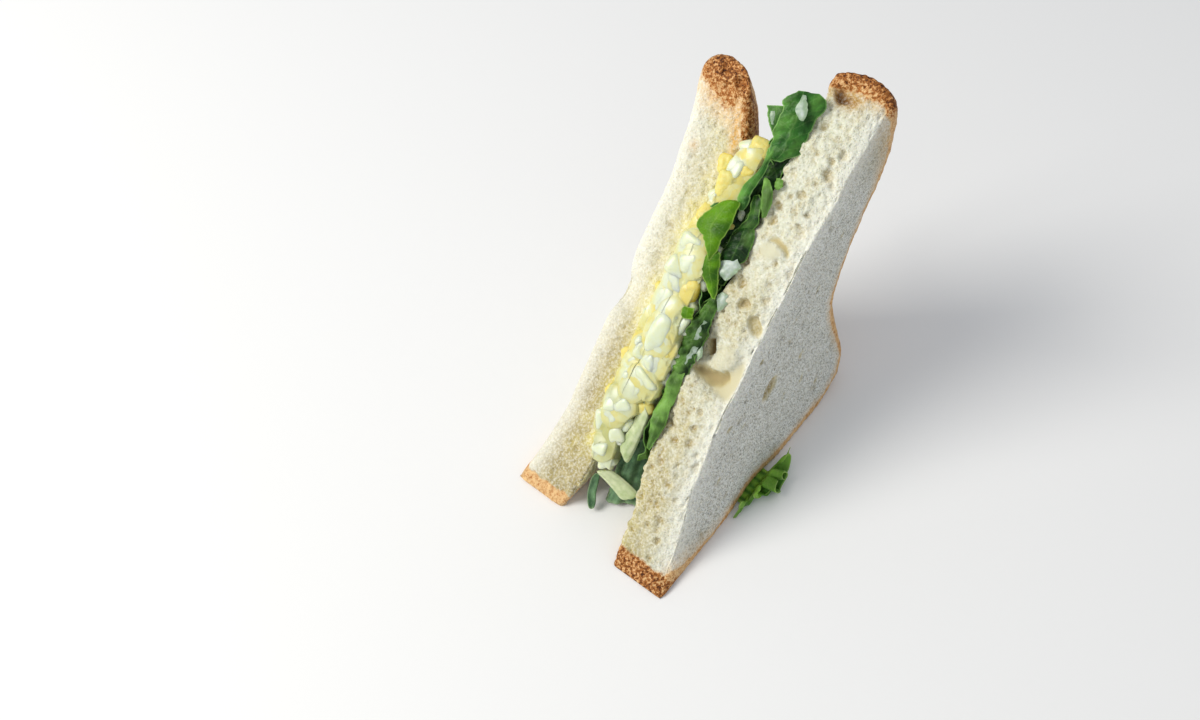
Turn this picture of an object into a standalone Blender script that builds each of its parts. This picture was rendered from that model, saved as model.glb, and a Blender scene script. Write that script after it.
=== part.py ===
"""One half of an egg salad sandwich that was cut corner to corner, standing on a crust.

Two thick slices of white bread hold egg salad and several lettuce leaves. Lengths are in
metres. X runs along the crust that the half stands on, from the pointed end to the square
corner of the slices, Y runs from the front slice to the back slice, and Z is up. The open
cut, with the filling in it, faces towards -X and up.
"""

import math
import random

import bmesh
import bpy
import numpy as np
from mathutils import Vector

MM = 0.001
SEED = 11

# Bread: both slices stand on a crust, lean a little and bow towards each other
SLICE_THICKNESS = 19.0 * MM
CROWN_HEIGHT = 122.0 * MM
FRONT_LEAN = 0.0454
FRONT_BOW = 28.0 * MM
BACK_NEAR_Y = 45.7 * MM
BACK_LEAN = -0.009
BACK_BOW = 5.2 * MM
BACK_BOW_HEIGHT = 113.0 * MM
CRUST_BULGE = 3.2 * MM
SLICE_HEART = np.array((70.0, 52.0)) * MM
TEAR = 0.35 * MM
TEAR_REACH = 0.15
SPREAD = 60.0 * MM
BREAD_CELLS = 20
BREAD_LAYERS = 6

# Filling
TOUCH = 0.35 * MM
LEAF = 0.9 * MM
CUT_LENGTH = 166.0 * MM
INTO_CUT = np.array((0.749, -0.663))

# Each layer's ends along the cut, how fast they draw in with depth (per mm), and its depth
EGG_ENDS = (0.155, 0.862)
EGG_SLANTS = (0.0045, 0.0075)
EGG_DEPTH = 46.0 * MM
EGG_CELLS = (24, 3, 4)
LONG_LEAF_ENDS = (0.21, 0.962)
LONG_LEAF_SLANTS = (0.003, 0.0098)
LONG_LEAF_DEPTH = 44.0 * MM
UPPER_LEAF_ENDS = (0.47, 0.95)
UPPER_LEAF_SLANTS = (0.003, 0.0088)
UPPER_LEAF_DEPTH = 36.0 * MM
UPPER_LEAF_OFF = 3.9 * MM
CROWN_LOBES = ((0.90, 0.96, 4.0 * MM), (0.85, 0.94, 7.5 * MM))

# Lobe that folds out over the egg: middle and half length along the cut, and off the front slice
LOBE_MIDDLE = (0.715, 11.0 * MM)
LOBE_HALF = (0.060, 5.0 * MM)
LOBE_RISE = 4.6 * MM

# Leaf that hangs low in the cut, as the left and right ends of its top and of its foot, in mm
HANGING_TOP = np.array(((26.2, 35.4, 22.6), (31.8, 28.4, 30.5)))
HANGING_FOOT = np.array(((17.6, 35.4, 1.4), (22.5, 24.0, 2.4)))
HANGING_CURL = np.array((0.92, 0.22, -0.34))

# Curly leaf on the floor, in mm: its ends under the slice and outside it, and its reach
FRILL_UNDER = (45.0, 61.0)
FRILL_OUTSIDE = (38.5, 70.0)
FRILL_INSIDE_Y = 6.0
FRILL_EDGE = 1 / 3
FRILL_REACH = (1.6, 7.4)
FRILL_PEAK = (58.0, 7.5)

# Pale pieces of rib: start, end, width and thickness
STALKS = {"stalk_piece_a": ((34.4, 32.0, 39.1), (23.6, 32.6, 25.0), 5.0 * MM, 2.6 * MM),
          "stalk_piece_b": ((19.4, 37.5, 16.0), (19.7, 26.4, 9.8), 5.5 * MM, 2.4 * MM)}

# Chopped pieces that stand out of the egg salad, in rows across the mouth of the cut
CHUNK_ROWS = 24
CHUNK_PLACES = (0.28, 0.62, 0.95)
SPILL_PLACE = 1.24
SPILL_ENDS = (0.30, 0.66)
CHUNK_SIZES = (3.6 * MM, 6.0 * MM)
LOBE_ENDS = (0.63, 0.80)
LOBE_REACH = 16.5 * MM
SAME_PLANE = math.radians(1.5)
NOT_BY_EGG = ("bread_front", "lettuce_frill")

# Middle of the whole half on the floor, which becomes the origin
MIDDLE = np.array((60.44, 27.17, 0.0)) * MM

# Slice outlines as (x, z) in millimetres, near and far being the slice's two faces
FRONT_CUT_NEAR = ((0, 0), (12.7, 11.6), (22.4, 26.0), (33.6, 39.7), (45.1, 51.4), (58.5, 62.6),
                  (68.1, 77.3), (77.0, 91.0), (89.0, 102.0), (100, 113.5), (111.6, 123.2))
FRONT_CUT_FAR = ((0.4, 0), (13.0, 9.8), (19.8, 18.6), (27.0, 30.0), (35.5, 37.6), (43.7, 46.4),
                 (53.9, 56.4), (60.8, 65.7), (67.6, 73.8), (76.4, 85.4), (88.6, 101.0),
                 (99.3, 113.4), (110.4, 125.0))
FRONT_LEG_NEAR = ((109.6, 3.8), (112.8, 11.0), (111.0, 20.0), (107.2, 32.0), (104.0, 46.0),
                  (106.2, 56.0), (109.8, 68.4), (113.6, 79.0), (117.6, 89.0), (118.6, 99.0),
                  (117.2, 108.2), (115.2, 117.0), (111.6, 123.2))
FRONT_LEG_FAR = FRONT_LEG_NEAR[:-1] + FRONT_CUT_FAR[-1:]
BACK_CUT_NEAR = ((6.9, 0), (13.0, 9.0), (21.0, 19.0), (31.0, 31.5), (41.0, 42.5), (51.0, 54.0),
                 (62.0, 66.5), (73.0, 78.5), (83.0, 88.5), (91.0, 98.0), (96.0, 108.0),
                 (99.5, 118.5))
BACK_CUT_FAR = ((7.4, 0), (14.0, 8.6), (23.0, 17.6), (32.7, 30.1), (41.0, 41.0), (50.5, 54.0),
                (59.6, 66.0), (68.1, 75.8), (76.0, 84.0), (83.6, 93.5), (94.7, 108.1),
                (99.7, 114.4), (105.5, 116.0))
BACK_LEG_NEAR = ((105.0, 3.8), (108.0, 11.0), (106.0, 21.0), (100.0, 36.0), (96.6, 50.0),
                 (97.6, 65.0), (100.4, 80.0), (102.6, 95.0), (103.0, 109.0), (99.5, 118.5))
BACK_LEG_FAR = ((107.0, 3.8), (110.4, 11.0), (108.0, 21.0), (102.6, 36.0), (100.4, 50.0),
                (103.4, 65.0), (107.6, 80.0), (111.0, 95.0), (110.6, 109.0), (105.5, 116.0))

# Hollows in the cut bread: place along the cut, place through the slice, radius, depth
FRONT_HOLLOWS = ((0.47, 0.80, 8.0 * MM, 5.0 * MM), (0.715, 0.55, 4.2 * MM, 2.0 * MM),
                 (0.30, 0.95, 5.0 * MM, 1.6 * MM), (0.93, 0.62, 4.0 * MM, 2.2 * MM))
BACK_HOLLOWS = ((0.51, 1.0, 7.5 * MM, 9.0 * MM), (0.20, 0.9, 6.0 * MM, 1.5 * MM))

# Largest pieces of egg white that show: place along the cut, share of the gap from front to
# back, how far out they stand, length along the cut, width, height, and turn in degrees
WHITES = ((0.44, 0.86, 3.0 * MM, 15.0 * MM, 5.5 * MM, 5.0 * MM, 8),
          (0.30, 1.05, 3.4 * MM, 6.0 * MM, 6.0 * MM, 4.5 * MM, 30),
          (0.315, 0.72, 2.6 * MM, 5.0 * MM, 8.5 * MM, 4.5 * MM, -20),
          (0.185, 0.97, 2.4 * MM, 5.5 * MM, 6.0 * MM, 4.5 * MM, 10),
          (0.37, 0.95, 3.0 * MM, 8.0 * MM, 6.0 * MM, 4.5 * MM, 50),
          (0.50, 1.08, 3.4 * MM, 8.0 * MM, 5.0 * MM, 4.0 * MM, 12),
          (0.66, 0.92, 3.0 * MM, 10.0 * MM, 6.0 * MM, 4.5 * MM, 5),
          (0.81, 0.80, 3.0 * MM, 5.0 * MM, 5.0 * MM, 4.5 * MM, 12),
          (0.845, 0.62, 3.4 * MM, 9.0 * MM, 5.5 * MM, 5.0 * MM, -8))


def smooth_curve(knots, at):
    """Points at 0 to 1 along a smooth curve through the knots, by length along the chords."""
    knots = np.asarray(knots, dtype=float) * MM
    chords = np.linalg.norm(np.diff(knots, axis=0), axis=1)
    place = np.concatenate(([0.0], np.cumsum(chords))) / chords.sum()
    slope = np.gradient(knots, place, axis=0)
    first = np.clip(np.searchsorted(place, at, side="right") - 1, 0, len(place) - 2)
    gap = (place[first + 1] - place[first])[:, None]
    t = (at - place[first])[:, None] / gap
    start = (2 * t**3 - 3 * t**2 + 1) * knots[first] + (t**3 - 2 * t**2 + t) * gap * slope[first]
    end = (3 * t**2 - 2 * t**3) * knots[first + 1] + (t**3 - t**2) * gap * slope[first + 1]
    return start + end


def blend(a, b, share):
    return a + (b - a) * share


def ease(low, high, value):
    """0 at low, 1 at high, level at both ends."""
    t = np.clip((value - low) / (high - low), 0.0, 1.0)
    return t * t * (3 - 2 * t)


def front_y(z, through):
    """The front slice's Y at height z, from its outer face (0) to its inner face (1)."""
    t = np.clip(z / CROWN_HEIGHT, 0.0, 1.0)
    return through * SLICE_THICKNESS + FRONT_LEAN * z + FRONT_BOW * t * (1 - t) ** 1.5


def back_y(z, through):
    """The back slice's Y at height z, from its inner face (0) to its outer face (1)."""
    t = np.clip(z / BACK_BOW_HEIGHT, 0.0, 1.0)
    bow = BACK_BOW * (1 - (2 * t - 1) ** 4)
    return BACK_NEAR_Y + through * SLICE_THICKNESS + BACK_LEAN * z - bow


class Slice:
    """A half slice of bread as curves in its own plane, each from 0 at one end to 1."""

    def __init__(self, name, cut, leg, face_y, hollows, arch, phase):
        self.name = name
        self.cut_knots = cut
        self.leg_knots = leg
        self.face_y = face_y
        self.hollows = hollows
        self.arch = arch
        self.phase = phase

    def tear(self, at, through):
        """How far the torn cut stands out, from three ripples along it, less its hollows."""
        phase = self.phase
        ripple = np.sin(at * 38 + phase) + 0.8 * np.sin(at * 67 + 2 * phase)
        ripple = ripple + 0.6 * np.sin(at * 101 + phase)
        across = 1 + 0.5 * np.sin(through * 7 + at * 23 + phase)
        out = TEAR * ripple * across * ease(0.0, 0.06, at) * ease(1.0, 0.93, at)
        for place, depth_place, radius, depth in self.hollows:
            along = (at - place) * CUT_LENGTH
            side = (through - depth_place) * SLICE_THICKNESS
            out = out - depth * np.exp(-((along**2 + side**2) / radius**2) ** 1.5)
        return out

    def bulge(self, point, through):
        """How far the crust stands out half way through the slice, away from its heart."""
        away = point - SLICE_HEART
        away = away / np.linalg.norm(away, axis=1)[:, None]
        return CRUST_BULGE * (4 * through * (1 - through))[:, None] * away

    def cut(self, at, through):
        """The long cut, from the pointed end up to the crown."""
        near, far = (smooth_curve(knots, at) for knots in self.cut_knots)
        line = blend(near, far, through[:, None])
        return line + self.bulge(line, through) * ease(0.93, 1.0, at)[:, None]

    def leg(self, at, through):
        """The upright crust, which stands out low and high and has a waist between."""
        near, far = (smooth_curve(knots, at) for knots in self.leg_knots)
        line = blend(near, far, through[:, None])
        return line + self.bulge(line, through)

    def base(self, at, through):
        """The crust that the slice stands on: flat, then up round the square corner."""
        zero = np.zeros_like(at)
        start = self.cut(zero, through)[:, 0]
        corner = self.leg(zero, through)
        x = blend(start, corner[:, 0], at)
        rise = corner[:, 1] * ease(0.86, 1.09, at) / ease(0.86, 1.09, 1.0)
        middle, half, height = self.arch
        hump = height * np.clip(1 - ((x - middle) / half) ** 2, 0.0, 1.0) ** 2
        return np.stack((x, rise + hump), axis=1)

    def point(self, u, v, through):
        """A point of the slice: its face is stretched between the four curves, and then torn."""
        zero = np.zeros_like(u)
        tip, middle, crown = (self.cut(zero + at, through) for at in (0.0, 0.5, 1.0))
        corner = self.leg(zero, through)
        low, high = self.cut(v * 0.5, through), self.cut(0.5 + u * 0.5, through)
        base, leg = self.base(u, through), self.leg(v, through)
        u, v = u[:, None], v[:, None]
        flat = (1 - v) * base + v * high + (1 - u) * low + u * leg
        flat = flat - (1 - u) * ((1 - v) * tip + v * middle) - u * ((1 - v) * corner + v * crown)
        from_cut = u * (1 - v) / np.maximum(u + 1 - v, 1e-6)
        flat = flat + SPREAD * from_cut * (1 - u) * v * INTO_CUT
        tear = self.tear((u + v)[:, 0] / 2, through)[:, None] * np.exp(-from_cut / TEAR_REACH)
        flat = flat - tear * INTO_CUT
        z = np.maximum(flat[:, 1], 0.0)
        return np.stack((flat[:, 0], self.face_y(z, through), z), axis=1)


FRONT = Slice("bread_front", (FRONT_CUT_NEAR, FRONT_CUT_FAR), (FRONT_LEG_NEAR, FRONT_LEG_FAR),
              front_y, FRONT_HOLLOWS, (53 * MM, 17 * MM, 2.8 * MM), 0.4)
BACK = Slice("bread_back", (BACK_CUT_NEAR, BACK_CUT_FAR), (BACK_LEG_NEAR, BACK_LEG_FAR),
             back_y, BACK_HOLLOWS, (53 * MM, 17 * MM, 0.0), 2.1)


def mouth(at, depth, share):
    """(x, z) between the slices' inner edges: along the cut, in from it, front to back."""
    front = smooth_curve(FRONT_CUT_FAR, np.clip(at, 0.0, 1.0))
    back = smooth_curve(BACK_CUT_NEAR, np.clip(at, 0.0, 1.0))
    return blend(front, back, share[:, None]) + depth[:, None] * INTO_CUT


def room(at):
    """The gap between the slices' inner faces at a place along the cut."""
    z = mouth(at, np.zeros_like(at), np.zeros_like(at) + 0.5)[:, 1]
    return back_y(z, 0.0) - front_y(z, 1.0)


def between(at, depth, share):
    """A point in the filling, at a share of the gap from the front slice to the back."""
    flat = mouth(at, depth, share)
    y = blend(front_y(flat[:, 1], 1.0) + TOUCH, back_y(flat[:, 1], 0.0) - TOUCH, share)
    return np.stack((flat[:, 0], y, flat[:, 1]), axis=1)


def off_front(at, depth, off):
    """A point in the filling, at a distance off the front slice's inner face."""
    flat = mouth(at, depth, np.clip(off / room(at), 0.0, 1.0))
    return np.stack((flat[:, 0], front_y(flat[:, 1], 1.0) + off, flat[:, 1]), axis=1)


def span(share, depth, ends, slants):
    """Places along the cut, from share 0 to 1, of a layer that narrows as it goes in."""
    inside = np.maximum(depth, 0.0) / MM
    return blend(ends[0] + slants[0] * inside, ends[1] - slants[1] * inside, share)


def egg_under(at):
    """How far the egg keeps off the front slice, clear of the leaves between them."""
    return 4.0 * MM + 7.5 * MM * ease(0.36, 0.24, at) + 3.1 * MM * ease(0.44, 0.50, at)


def egg_point(a, b, c):
    """The mass of egg salad: a along the cut, b into it and c from the leaves to the back slice."""
    swell = (1.2 + 1.8 * np.sin(math.pi * c)) * ease(0.0, 0.06, a) * ease(1.0, 0.94, a) * MM
    depth = blend(-swell, EGG_DEPTH, b)
    at = span(a, depth, EGG_ENDS, EGG_SLANTS)
    return between(at, depth, blend(egg_under(at) / room(at), 1.0, c))


def crown_lobe(at, low, high, stand):
    """How far a leaf's upper end stands off the bread."""
    return stand * ease(low, high, at)


def long_leaf(a, b):
    """The dark leaf that lines the front slice from low in the cut up to the crown."""
    depth = blend(-2.2 * MM, LONG_LEAF_DEPTH, b**1.4)
    fray = ease(8 * MM, 0.0, depth)
    at = span(a, depth, LONG_LEAF_ENDS, LONG_LEAF_SLANTS)
    depth = depth - 1.3 * MM * fray * (np.sin(at * 52) + 0.6 * np.sin(at * 91 + 1))
    wave = 0.5 + 0.5 * np.sin(at * 74 + depth / MM * 0.35)
    height = blend(0.4, 1.6, fray) * MM * wave + crown_lobe(at, *CROWN_LOBES[0]) * fray
    return off_front(at, depth, TOUCH + LEAF / 2 + 0.25 * MM + height)


def upper_leaf(a, b):
    """The broad leaf between the dark one and the egg, with lobes that stand out at the crown."""
    depth = blend(-3.4 * MM, UPPER_LEAF_DEPTH, b**1.4)
    fray = ease(10 * MM, 0.0, depth)
    at = span(a, depth, UPPER_LEAF_ENDS, UPPER_LEAF_SLANTS)
    depth = depth - 1.5 * MM * fray * np.sin(at * 44 + 2)
    wave = 0.5 + 0.5 * np.sin(at * 66 + 1.2 + depth / MM * 0.3)
    height = blend(0.6, 1.8, fray) * MM * wave + crown_lobe(at, *CROWN_LOBES[1]) * fray
    return off_front(at, depth, UPPER_LEAF_OFF + height)


def disc(a, b):
    """The unit square as a disc of radius 1."""
    x, y = 2 * a - 1, 2 * b - 1
    return x * np.sqrt(1 - y**2 / 2), y * np.sqrt(1 - x**2 / 2)


def folded_lobe(a, b):
    """The bright lobe that folds out over the egg."""
    round_a, round_b = disc(a, b)
    at = LOBE_MIDDLE[0] + LOBE_HALF[0] * (round_a + 0.2 * round_b)
    off = LOBE_MIDDLE[1] + LOBE_HALF[1] * (round_b - 0.28 * round_a)
    rise = LOBE_RISE - 1.2 * MM * round_b**2 + 0.6 * MM * np.sin(round_a * 3)
    return off_front(at, -rise, off)


def hanging_leaf(a, b):
    """The blue-green leaf that hangs out low in the cut, down to the floor."""
    top = blend(*HANGING_TOP, a[:, None])
    foot = blend(*HANGING_FOOT, a[:, None])
    fold = 0.9 * np.sin(a * 8 + b * 3) * ease(0.0, 0.4, b) + 0.8 * (2 * a - 1) ** 2
    sheet = blend(top, foot, b[:, None]) + HANGING_CURL * fold[:, None]
    sheet[:, 2] = np.maximum(sheet[:, 2], 0.6)
    return sheet * MM


def floor_frill(a, b):
    """The bright curly lettuce that comes out from under the front slice and then widens."""
    out = np.clip((b - FRILL_EDGE) / (1 - FRILL_EDGE), 0.0, 1.0)
    under, outside = blend(*FRILL_UNDER, a), blend(*FRILL_OUTSIDE, a)
    x = blend(under, outside, ease(0.0, 1.0, out))
    hump = np.exp(-(((outside - FRILL_PEAK[0]) / FRILL_PEAK[1]) ** 2))
    reach = FRILL_REACH[0] + (FRILL_REACH[1] + 0.7 * np.sin(a * 26)) * hump
    y = blend(FRILL_INSIDE_Y, -1.2, np.clip(b / FRILL_EDGE, 0.0, 1.0)) - reach * out
    lift = ease(-0.8, -5.0, y) * (2.0 + 1.2 * np.sin(a * 29 + b * 3))
    z = 0.05 + LEAF / MM / 2 + lift
    return np.stack((x + 0.2 * lift * np.sin(a * 25), y, z), axis=1) * MM


def new_object(name, bm, collection, colour, roughness):
    """The bmesh as a named object with one material of its own."""
    mesh = bpy.data.meshes.new(name)
    bm.to_mesh(mesh)
    bm.free()
    material = bpy.data.materials.new(name)
    material.use_nodes = True
    shader = material.node_tree.nodes["Principled BSDF"]
    shader.inputs["Base Color"].default_value = (*colour, 1.0)
    shader.inputs["Roughness"].default_value = roughness
    shader.inputs["Metallic"].default_value = 0.0
    mesh.materials.append(material)
    mesh.shade_smooth()
    mesh.set_sharp_from_angle(angle=math.radians(50))
    made = bpy.data.objects.new(name, mesh)
    collection.objects.link(made)
    return made


def grid_block(cells):
    """A unit cube cut into cells along X, Y and Z, and its points as numbers from 0 to 1."""
    bm = bmesh.new()
    bmesh.ops.create_cube(bm, size=1.0)
    for axis, count in enumerate(cells):
        edges = [e for e in bm.edges if abs(e.verts[0].co[axis] - e.verts[1].co[axis]) > 0.5]
        bmesh.ops.subdivide_edges(bm, edges=edges, cuts=count - 1, use_grid_fill=True)
    return bm, np.array([v.co for v in bm.verts]).T + 0.5


def grid_sheet(cells):
    """A flat grid split into triangles, and its points as numbers from 0 to 1."""
    bm = bmesh.new()
    bmesh.ops.create_grid(bm, x_segments=cells[0], y_segments=cells[1], size=0.5)
    bmesh.ops.triangulate(bm, faces=bm.faces[:])
    return bm, np.array([v.co for v in bm.verts]).T[:2] + 0.5


def place_points(bm, points):
    for vertex, point in zip(bm.verts, points - MIDDLE):
        vertex.co = point


def face_outwards(bm):
    if bm.calc_volume(signed=True) < 0.0:
        bmesh.ops.reverse_faces(bm, faces=bm.faces[:])


def make_block(name, cells, surface, collection, colour):
    """A closed solid: surface gives its skin from three numbers from 0 to 1."""
    bm, unit = grid_block(cells)
    place_points(bm, surface(*unit))
    bmesh.ops.triangulate(bm, faces=bm.faces[:], quad_method="BEAUTY")
    face_outwards(bm)
    return new_object(name, bm, collection, colour, 0.85)


def make_leaf(name, cells, surface, collection, colour):
    """A thin wavy leaf: surface gives its middle sheet from two numbers from 0 to 1."""
    bm, unit = grid_sheet(cells)
    place_points(bm, surface(*unit))
    leaf = new_object(name, bm, collection, colour, 0.4)
    thick = leaf.modifiers.new("Thickness", "SOLIDIFY")
    thick.thickness = LEAF
    thick.offset = 0.0
    return leaf


def make_stalk(name, start, end, width, thick, collection):
    """A short pale piece of leaf rib: a rounded bar with slanting ends."""
    bm = bmesh.new()
    bmesh.ops.create_cube(bm, size=1.0)
    bmesh.ops.bevel(bm, geom=bm.edges[:], offset=0.2, segments=2, affect="EDGES", profile=0.5)
    along = end - start
    middle = (end + start) / 2 - Vector(MIDDLE)
    side = along.cross(Vector((INTO_CUT[0], 0.0, INTO_CUT[1]))).normalized()
    out = side.cross(along).normalized()
    for vertex in bm.verts:
        a, b, c = vertex.co
        vertex.co = middle + along * (a + 0.14 * b) + side * b * width + out * c * thick
    face_outwards(bm)
    return new_object(name, bm, collection, (0.72, 0.78, 0.52), 0.4)


def cut_frame(turn):
    """Axes along the cut, across it towards the back slice and out of it, turned about the last."""
    along = Vector((-INTO_CUT[1], 0.0, INTO_CUT[0]))
    across = Vector((0.0, 1.0, 0.0))
    out = Vector((-INTO_CUT[0], 0.0, -INTO_CUT[1]))
    return (along * math.cos(turn) + across * math.sin(turn),
            across * math.cos(turn) - along * math.sin(turn), out)


def make_chunk(centre, size, turn, draw, collection):
    """One piece of chopped egg: a cube whose corners are pulled a little out of true."""
    bm = bmesh.new()
    bmesh.ops.create_cube(bm, size=1.0)
    axes = cut_frame(turn)
    for vertex in bm.verts:
        corner = vertex.co * draw.uniform(0.74, 1.08)
        steps = (axis * part * length for axis, part, length in zip(axes, corner, size))
        vertex.co = sum(steps, Vector(centre - MIDDLE))
    bmesh.ops.triangulate(bm, faces=bm.faces[:])
    face_outwards(bm)
    new_object("chunk", bm, collection, (0.9, 0.88, 0.75), 0.5)


def chunk_centre(at, share, rise):
    """The middle of a piece that stands out by rise: past share 1 it lies on the back slice."""
    at, rise = np.array([at]), np.array([rise])
    if share <= 1.0:
        return between(at, -rise, np.array([share]))[0]
    through = (share - 1.0) * room(at) / SLICE_THICKNESS
    flat = BACK.cut(at, through) - rise[:, None] * INTO_CUT
    return np.array((flat[0, 0], back_y(flat[:, 1], through)[0], flat[0, 1]))


def add_chunks(collection):
    """The pieces that show in the mouth of the cut: the named ones, then rows of smaller ones."""
    draw = random.Random(SEED)
    for at, share, rise, *size, turn in WHITES:
        make_chunk(chunk_centre(at, share, rise), size, math.radians(turn), draw, collection)
    for row in range(CHUNK_ROWS):
        middle = blend(EGG_ENDS[0] + 0.012, EGG_ENDS[1] - 0.012, row / (CHUNK_ROWS - 1))
        gap = float(room(np.array([middle]))[0])
        start = float(egg_under(np.array([middle]))[0]) / gap
        shares = [blend(start, 1.0, place) for place in CHUNK_PLACES]
        if SPILL_ENDS[0] < middle < SPILL_ENDS[1]:
            shares.append(SPILL_PLACE)
        for share in shares:
            size = [draw.uniform(*CHUNK_SIZES) for _ in range(3)]
            rise = draw.uniform(2.0, 3.4) * MM + 0.7 * MM * (share > 0.9)
            if LOBE_ENDS[0] < middle < LOBE_ENDS[1] and share * gap < LOBE_REACH:
                rise = 0.9 * MM
                size[2] = 3.0 * MM
            at = middle + draw.uniform(-0.008, 0.008)
            turn = draw.uniform(0.0, math.pi)
            make_chunk(chunk_centre(at, share, rise), size, turn, draw, collection)


def boolean(target, operation, operands):
    """Joins the collection's solids to the target, or cuts them from it, and removes them."""
    step = target.modifiers.new("Step", "BOOLEAN")
    step.operand_type = "COLLECTION"
    step.collection = operands
    step.operation = operation
    step.solver = "EXACT"
    graph = bpy.context.evaluated_depsgraph_get()
    result = bpy.data.meshes.new_from_object(target.evaluated_get(graph))
    target.modifiers.clear()
    old = target.data
    target.data = result
    bpy.data.meshes.remove(old)
    for piece in list(operands.objects):
        bpy.data.objects.remove(piece, do_unlink=True)


def add_swollen(source, collection):
    """A copy of a neighbour, grown by the gap that the egg keeps to it."""
    graph = bpy.context.evaluated_depsgraph_get()
    bm = bmesh.new()
    bm.from_object(source, graph)
    bm.normal_update()
    grown = [vertex.co + vertex.normal * TOUCH for vertex in bm.verts]
    for vertex, point in zip(bm.verts, grown):
        vertex.co = point
    new_object("swollen", bm, collection, (0.5, 0.5, 0.5), 0.5)


def clean(target):
    """Drops the scraps that a cut has left loose, and the edges between faces in one plane."""
    bm = bmesh.new()
    bm.from_mesh(target.data)
    left = set(bm.verts)
    bodies = []
    while left:
        body, edge_of = set(), [left.pop()]
        while edge_of:
            vertex = edge_of.pop()
            body.add(vertex)
            near = {edge.other_vert(vertex) for edge in vertex.link_edges} & left
            left -= near
            edge_of.extend(near)
        bodies.append(body)
    largest = max(bodies, key=len)
    loose = [vertex for vertex in bm.verts if vertex not in largest]
    bmesh.ops.delete(bm, geom=loose, context="VERTS")
    bmesh.ops.dissolve_limit(bm, angle_limit=SAME_PLANE, verts=bm.verts[:], edges=bm.edges[:])
    bmesh.ops.triangulate(bm, faces=bm.faces[:])
    bm.to_mesh(target.data)
    bm.free()


def make_egg_salad(collection, neighbours):
    """The heap: one mass with chopped pieces fused on, clear of the bread and the leaves."""
    helpers = bpy.data.collections.new("helpers")
    bpy.context.scene.collection.children.link(helpers)
    egg = make_block("egg_salad", EGG_CELLS, egg_point, collection, (0.88, 0.78, 0.38))
    add_chunks(helpers)
    boolean(egg, "UNION", helpers)
    for neighbour in neighbours:
        add_swollen(neighbour, helpers)
        boolean(egg, "DIFFERENCE", helpers)
    clean(egg)
    bpy.data.collections.remove(helpers)


def main():
    for obj in list(bpy.data.objects):
        bpy.data.objects.remove(obj, do_unlink=True)
    parts = bpy.data.collections.new("egg_salad_sandwich")
    bpy.context.scene.collection.children.link(parts)
    bread_cells = (BREAD_CELLS, BREAD_CELLS, BREAD_LAYERS)
    for bread in (FRONT, BACK):
        make_block(bread.name, bread_cells, bread.point, parts, (0.83, 0.78, 0.66))
    make_leaf("lettuce_leaf_long", (26, 9), long_leaf, parts, (0.04, 0.16, 0.03))
    make_leaf("lettuce_leaf_upper", (20, 8), upper_leaf, parts, (0.07, 0.22, 0.05))
    make_leaf("leaf_lobe", (9, 7), folded_lobe, parts, (0.24, 0.42, 0.05))
    make_leaf("lettuce_leaf_lower", (6, 10), hanging_leaf, parts, (0.10, 0.22, 0.13))
    make_leaf("lettuce_frill", (24, 6), floor_frill, parts, (0.20, 0.42, 0.05))
    for name, (start, end, width, thick) in STALKS.items():
        make_stalk(name, Vector(start) * MM, Vector(end) * MM, width, thick, parts)
    neighbours = [obj for obj in parts.objects if obj.name not in NOT_BY_EGG]
    make_egg_salad(parts, neighbours)


if __name__ == "__main__":
    main()
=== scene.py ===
"""Half of an egg salad sandwich that was cut corner to corner, dressed for rendering.

Shapes are worked out in millimetres, with X along the crust that the half stands on, Y from
the front slice to the back one and Z up, and are moved to the part's own origin at the end.
"""

import logging
import math
from collections.abc import Callable
from dataclasses import dataclass, field
from enum import Enum

import bpy
import numpy as np
from bpy.types import Material, Node, NodeSocket, NodeTree, Object
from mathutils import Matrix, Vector

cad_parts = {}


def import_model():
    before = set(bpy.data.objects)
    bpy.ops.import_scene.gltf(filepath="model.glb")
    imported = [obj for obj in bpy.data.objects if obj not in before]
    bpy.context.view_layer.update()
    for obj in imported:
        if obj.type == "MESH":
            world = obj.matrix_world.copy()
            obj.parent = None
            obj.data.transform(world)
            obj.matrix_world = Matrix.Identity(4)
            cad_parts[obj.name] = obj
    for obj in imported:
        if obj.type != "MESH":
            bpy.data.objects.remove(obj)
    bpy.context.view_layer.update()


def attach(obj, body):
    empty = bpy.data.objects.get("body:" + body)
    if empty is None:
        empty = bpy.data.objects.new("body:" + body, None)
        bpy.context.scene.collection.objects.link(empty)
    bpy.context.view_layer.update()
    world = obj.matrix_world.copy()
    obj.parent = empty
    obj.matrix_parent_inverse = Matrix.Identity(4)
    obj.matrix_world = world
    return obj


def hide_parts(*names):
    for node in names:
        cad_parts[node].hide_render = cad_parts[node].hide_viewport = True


LOG = logging.getLogger("egg_salad_sandwich")
Array = np.ndarray
Pair = tuple[float, float]
Triple = tuple[float, float, float]

MM = 0.001
MIDDLE = np.array((60.44, 27.17, 0.0))
INTO_CUT = np.array((0.749, -0.663))
OUT_OF_CUT = np.array((-0.749, 0.0, 0.663))
ALONG_CUT = np.array((0.663, 0.0, 0.749))
CUT_LENGTH = 166.0
SLICE_THICKNESS = 19.0
CROWN_HEIGHT = 122.0
BACK_HEIGHT = 113.0
ON_EDGE = 0.01
MELT_STEP = 0.6


# Numbers


def blend(a: Array | float, b: Array | float, share: Array | float) -> Array | float:
    """The value at a share of the way from a to b."""
    return a + (b - a) * share


def held(value: Array | float) -> Array:
    """The value, kept between 0 and 1."""
    return np.clip(value, 0.0, 1.0)


def unit(steps: Array) -> Array:
    """The steps, one to a row, each made 1 long."""
    return steps / np.linalg.norm(steps, axis=1)[:, None]


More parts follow.
